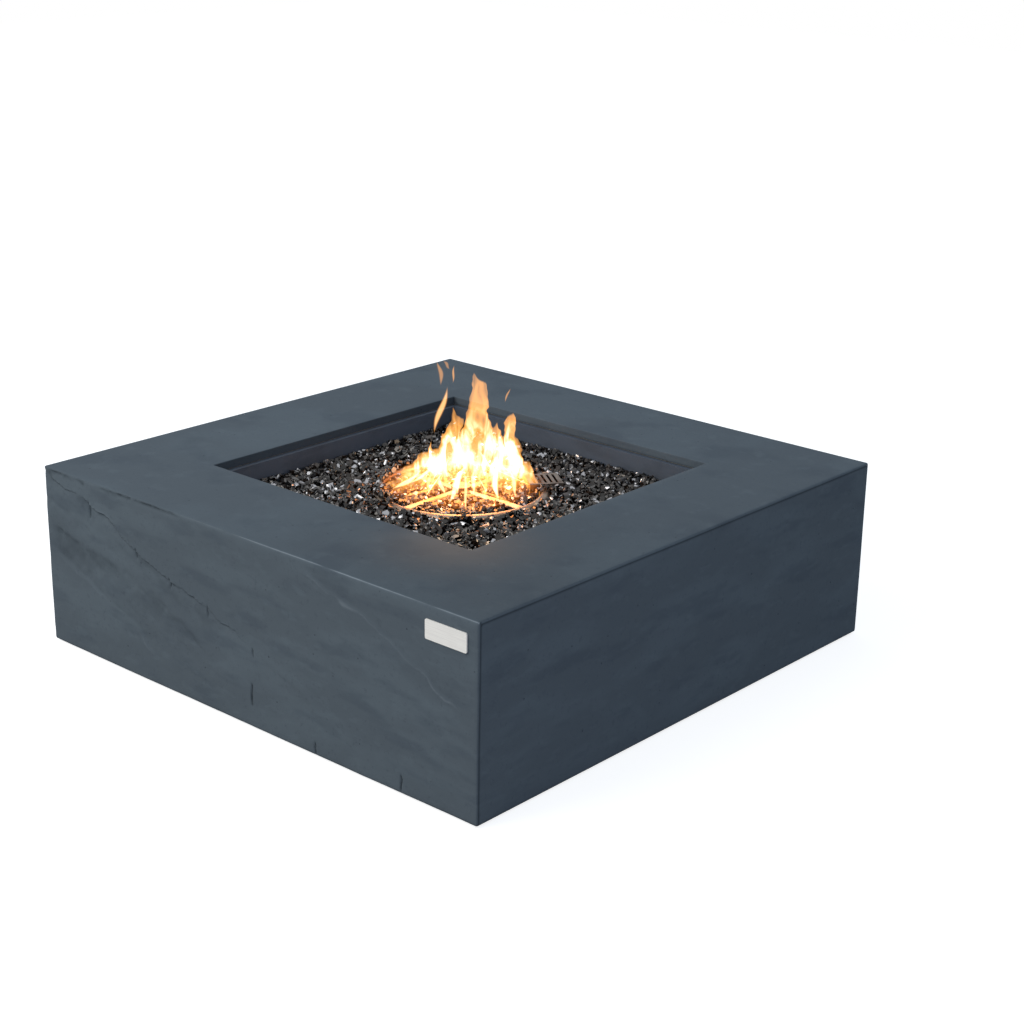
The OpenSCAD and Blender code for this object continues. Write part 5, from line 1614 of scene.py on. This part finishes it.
        shown = add_node(tree, "Math", {0: lit.outputs[0], 1: edge.outputs[0]}, operation="MULTIPLY")
        white = add_node(tree, "MapRange", {
            "Value": lit.outputs[0], "From Min": self.white[0], "From Max": self.white[1]})
        self.whiten(made, white.outputs[0])
        self.glow(made, shown.outputs[0])
        return made

    def tongue(self, name: str, size: tuple[float, float], level: float, phase: float) -> bpy.types.Light:
        """A slender tongue: its half width is a sine of the way up, round a line that sways by a sine.

        Args:
            name: Name of the lamp.
            size: Width and length in millimetres.
            level: Brightness, where 1 is the colour itself.
            phase: Phase of the sway.

        Returns:
            The lamp.
        """
        made = self.lamp(name, size, level)
        tree = made.node_tree
        shares = add_node(tree, "Mapping", {
            "Vector": add_node(tree, "TexCoord").outputs["Object"], "Location": (0, 0.5, 0),
            "Scale": (2 / (MM * size[0]), 1 / (MM * size[1]), 1)})
        place = add_node(tree, "SeparateXYZ", {0: shares.outputs[0]}).outputs
        phases = {0: place["Y"], 1: self.sway_turn, 2: phase}
        turned = add_node(tree, "Math", phases, operation="MULTIPLY_ADD")
        wave = add_node(tree, "Math", {0: turned.outputs[0]}, operation="SINE")
        swayed = {0: wave.outputs[0], 1: self.sway, 2: place["X"]}
        aside = add_node(tree, "Math", swayed, operation="MULTIPLY_ADD")
        away = add_node(tree, "Math", {0: aside.outputs[0]}, operation="ABSOLUTE")
        way = add_node(tree, "Math", {0: place["Y"], 1: math.pi}, operation="MULTIPLY")
        wide = add_node(tree, "Math", {0: way.outputs[0]}, operation="SINE")
        inside = add_node(tree, "Math", {0: wide.outputs[0], 1: self.girth}, operation="MULTIPLY")
        left = add_node(tree, "Math", {0: inside.outputs[0], 1: away.outputs[0]}, operation="SUBTRACT")
        shown = add_node(
            tree, "MapRange", {"Value": left.outputs[0], "From Max": self.tongue_edge},
            interpolation_type="SMOOTHSTEP")
        over = min(max(level - 1, 0), 1)
        white = add_node(tree, "Math", {0: shown.outputs[0], 1: over}, operation="MULTIPLY")
        self.whiten(made, white.outputs[0])
        self.glow(made, shown.outputs[0])
        return made

    def bed(self) -> None:
        """Hangs a round glow low over the ring: patches of burning gas that thin out towards its edge."""
        radius = MM * self.bed_radius
        made = self.lamp("flame_bed", (2 * self.bed_radius, 2 * self.bed_radius), self.bed_level)
        made.shape = "DISK"
        tree = made.node_tree
        tree.nodes["Emission"].inputs["Color"].default_value = linear(self.ember)
        coords = add_node(tree, "TexCoord").outputs["Object"]
        patches = self.bed_patches.value(tree, coords)
        far = add_node(tree, "VectorMath", {0: coords}, operation="LENGTH").outputs["Value"]
        round_off = add_node(
            tree, "MapRange", {"Value": far, "From Min": radius, "From Max": self.bed_rim * radius},
            interpolation_type="SMOOTHSTEP")
        shown = add_node(tree, "Math", {0: patches, 1: round_off.outputs[0]}, operation="MULTIPLY")
        self.glow(made, shown.outputs[0])
        upwards = Matrix.Rotation(math.pi, 4, "X")
        self.show(hang_lamp(made, Matrix.Translation((0, 0, MM * self.bed_height)) @ upwards))

    @staticmethod
    def show(flame: bpy.types.Object) -> None:
        """Lets the camera see a flame, and leaves the lighting of other pieces to unseen lamps."""
        flame.visible_camera = True
        flame.visible_diffuse = False

    def hang(
            self, made: bpy.types.Light, low: Sequence[float], high: Sequence[float],
            turn_deg: float) -> None:
        """Hangs a lamp between two places, with its face to the side that it is seen from.

        Args:
            made: The lamp.
            low: Sideways, depth and height of its lower end.
            high: Sideways, depth and height of its upper end.
            turn_deg: Turn of its set about the table's axis.
        """
        across, back = Vector((*self.right, 0)), Vector((-self.right[1], self.right[0], 0))
        ends = [MM * (a * across + d * back + Vector((0, 0, z))) for a, d, z in (low, high)]
        up = (ends[1] - ends[0]).normalized()
        away = (back - back.dot(up) * up).normalized()
        turned = Matrix((up.cross(away), up, away)).transposed().to_4x4()
        turned.translation = (ends[0] + ends[1]) / 2
        self.show(hang_lamp(made, Matrix.Rotation(math.radians(turn_deg), 4, "Z") @ turned))

    def cast_light(self) -> None:
        """Hangs the lamps that light what is round the fire, and the one for its soft sheen on the slab."""
        glow = bpy.data.lights.new("flame_glow", "AREA")
        glow.shape = "DISK"
        glow.size = self.cast_size
        glow.spread = math.radians(self.cast_spread_deg)
        light = bpy.data.lights.new("flame_light", "POINT")
        for lamp, (height, watts) in zip((glow, light), self.cast):
            lamp.energy = watts
            lamp.color = linear(self.cast_colour)[:3]
            hang_lamp(lamp, Matrix.Translation((0, 0, height * MM)))
        sheen = bpy.data.lights.new("flame_sheen", "SPOT")
        sheen.energy = self.sheen_watts
        sheen.color = linear(self.colour)[:3]
        sheen.spot_size = math.radians(self.sheen_deg)
        sheen.spot_blend = 1.0
        sheen.shadow_soft_size = self.sheen_size
        hang_lamp(sheen, Matrix.Translation(self.sheen_place))

    def build(self) -> None:
        """Hangs the sets of flames, the glow over the ring and the lamps that light what is round them."""
        made = [(self.sheet("flame_sheet"), (0, 0, self.low), (0, 0, self.high))]
        for number, (*ends, width, level) in enumerate(self.tongues):
            length = math.dist(ends[:3], ends[3:])
            name, phase = f"flame_tongue_{number:02d}", self.phase_step * number
            made.append((self.tongue(name, (width, length), level, phase), ends[:3], ends[3:]))
        for turn in self.turns_deg:
            for lamp, low, high in made:
                self.hang(lamp, low, high, turn)
        self.bed()
        LOG.info("flames: %d lamps", len(made) * len(self.turns_deg) + 1)
        self.cast_light()


@dataclass(frozen=True)
class SoftLamp:
    """A square lamp that faces the middle of the floor.

    Attributes:
        name: Name of the lamp.
        colour: sRGB hex colour of its light.
        watts: Its power.
        size: Its side in metres.
        distance: Its distance from the middle in metres.
        direction: Direction in which it hangs, from the middle.
    """

    name: str
    colour: str
    watts: float
    size: float
    distance: float
    direction: tuple[float, float, float]


@dataclass
class Studio:
    """Pale floor, soft light and the camera of the photograph.

    Attributes:
        eye: Place of the camera in metres.
        forward: Direction in which it looks.
        roll_deg: How far its right side is turned up.
        lens: Focal length in millimetres.
        sensor: Width of the sensor in millimetres.
        lamps: A large soft key on the badge side, and a weak cool fill on the right side.
        sky: Colour of the background's light.
        sky_strength: Strength of that light; the camera and mirrors see plain white.
        floor_tones: Colours of the floor as a light and as the camera sees it.
        floor_lift: Glow of the floor in the camera's view, which brings it near white.
        floor_half: Half of the floor's side in millimetres.
        floor_drop: Depth of the floor under the feet in millimetres.
    """

    eye: tuple[float, float, float] = (1.99430, -2.14270, 1.23991)
    forward: tuple[float, float, float] = (-0.62373, 0.70833, -0.33050)
    roll_deg: float = 0.93
    lens: float = 68.63
    sensor: float = 36.0
    lamps: tuple[SoftLamp, ...] = (
        SoftLamp("soft_key", "#fffaf2", watts=110.0, size=3.0, distance=4.5, direction=(-0.35, -0.69, 0.62)),
        SoftLamp("cool_fill", "#ecd6ff", watts=1.6, size=1.0, distance=2.4, direction=(0.90, -0.35, 0.22)),
    )
    sky: str = "#d9ebff"
    sky_strength: float = 0.63
    floor_tones: tuple[str, str] = ("#b0b0b0", "#bcbcbc")
    floor_lift: float = 0.80
    floor_half: float = 9000.0
    floor_drop: float = 0.3

    def camera(self) -> None:
        """Sets the camera: it looks along forward, and right is turned up by the roll."""
        forward = Vector(self.forward).normalized()
        level = forward.cross(Vector((0, 0, 1))).normalized()
        roll = math.radians(self.roll_deg)
        right = math.cos(roll) * level + math.sin(roll) * level.cross(forward)
        up = right.cross(forward)
        data = bpy.data.cameras.new("photo_camera")
        data.lens = self.lens
        data.sensor_width = self.sensor
        made = bpy.data.objects.new("photo_camera", data)
        made.matrix_world = Matrix((right, up, -forward)).transposed().to_4x4()
        made.location = self.eye
        bpy.context.scene.collection.objects.link(made)
        bpy.context.scene.camera = made

    def world(self) -> None:
        """Sets a white background that lights the table as an even pale sky."""
        world = bpy.data.worlds.new("pale_sky")
        world.use_nodes = True
        tree = world.node_tree
        path = add_node(tree, "LightPath").outputs
        seen = {0: path["Is Camera Ray"], 1: path["Is Glossy Ray"]}
        white = add_node(tree, "Math", seen, operation="MAXIMUM").outputs[0]
        strength = add_node(tree, "Mix", {0: white, 2: self.sky_strength, 3: 1.0}, data_type="FLOAT")
        colours = {0: white, 6: linear(self.sky), 7: linear("#ffffff")}
        colour = add_node(tree, "Mix", colours, data_type="RGBA")
        tree.links.new(colour.outputs[2], tree.nodes["Background"].inputs["Color"])
        tree.links.new(strength.outputs[0], tree.nodes["Background"].inputs["Strength"])
        bpy.context.scene.world = world

    def floor(self) -> None:
        """Lays a pale floor: near white to the camera, with the table's shadow, and duller as a light."""
        material = bpy.data.materials.new("pale_floor")
        material.use_nodes = True
        tree = material.node_tree
        tree.nodes.remove(tree.nodes["Principled BSDF"])
        seen = add_node(tree, "LightPath").outputs["Is Camera Ray"]
        dull, bright = (linear(tone) for tone in self.floor_tones)
        tone = add_node(tree, "Mix", {0: seen, 6: dull, 7: bright}, data_type="RGBA")
        matt = add_node(tree, "BsdfDiffuse", {"Color": tone.outputs[2]})
        lift = add_node(tree, "Math", {0: seen, 1: self.floor_lift}, operation="MULTIPLY")
        glow = add_node(tree, "Emission", {"Color": linear("#ffffff"), "Strength": lift.outputs[0]})
        both = add_node(tree, "AddShader", {0: matt.outputs[0], 1: glow.outputs[0]})
        tree.links.new(both.outputs[0], tree.nodes["Material Output"].inputs["Surface"])
        corners = np.array([[-1, -1, 0], [1, -1, 0], [1, 1, 0], [-1, 1, 0]])
        square = self.floor_half * corners - (0, 0, self.floor_drop)
        add_mesh("floor", square, [np.arange(4)[None]], material)

    def light(self) -> None:
        """Hangs the soft lamps, each turned to the middle of the floor."""
        for soft in self.lamps:
            lamp = bpy.data.lights.new(soft.name, "AREA")
            lamp.size = soft.size
            lamp.energy = soft.watts
            lamp.color = linear(soft.colour)[:3]
            towards = Vector(soft.direction).normalized()
            place = towards.to_track_quat("Z", "Y").to_matrix().to_4x4()
            place.translation = towards * soft.distance
            hang_lamp(lamp, place)

    def build(self) -> None:
        """Makes the camera, the world, the floor and the lamps."""
        bpy.context.scene.view_settings.view_transform = "Standard"
        self.camera()
        self.world()
        self.floor()
        self.light()


def dress_cad_nodes() -> None:
    """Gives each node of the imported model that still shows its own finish."""
    for finish, names in CAD_FINISHES.items():
        for name in names:
            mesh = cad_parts[name].data
            mesh.materials.clear()
            mesh.materials.append(finish.material())
            LOG.info("%s: %s", name, finish.name)


def main() -> None:
    """Builds the sub-assemblies in order."""
    logging.basicConfig(level=logging.INFO, format="%(name)s: %(message)s")
    Studio().build()
    ConcreteShell().build()
    GlassBed().build()
    Controls().build()
    ReturnSpring("valve_coil", "valve_spring", "knob_push", travel=4.0, radius=5.0).build()
    ReturnSpring("igniter_coil", "igniter_spring", "igniter_press", travel=5.0, radius=4.5).build()
    dress_cad_nodes()
    GasFlames().build()


if __name__ == "__main__":
    main()
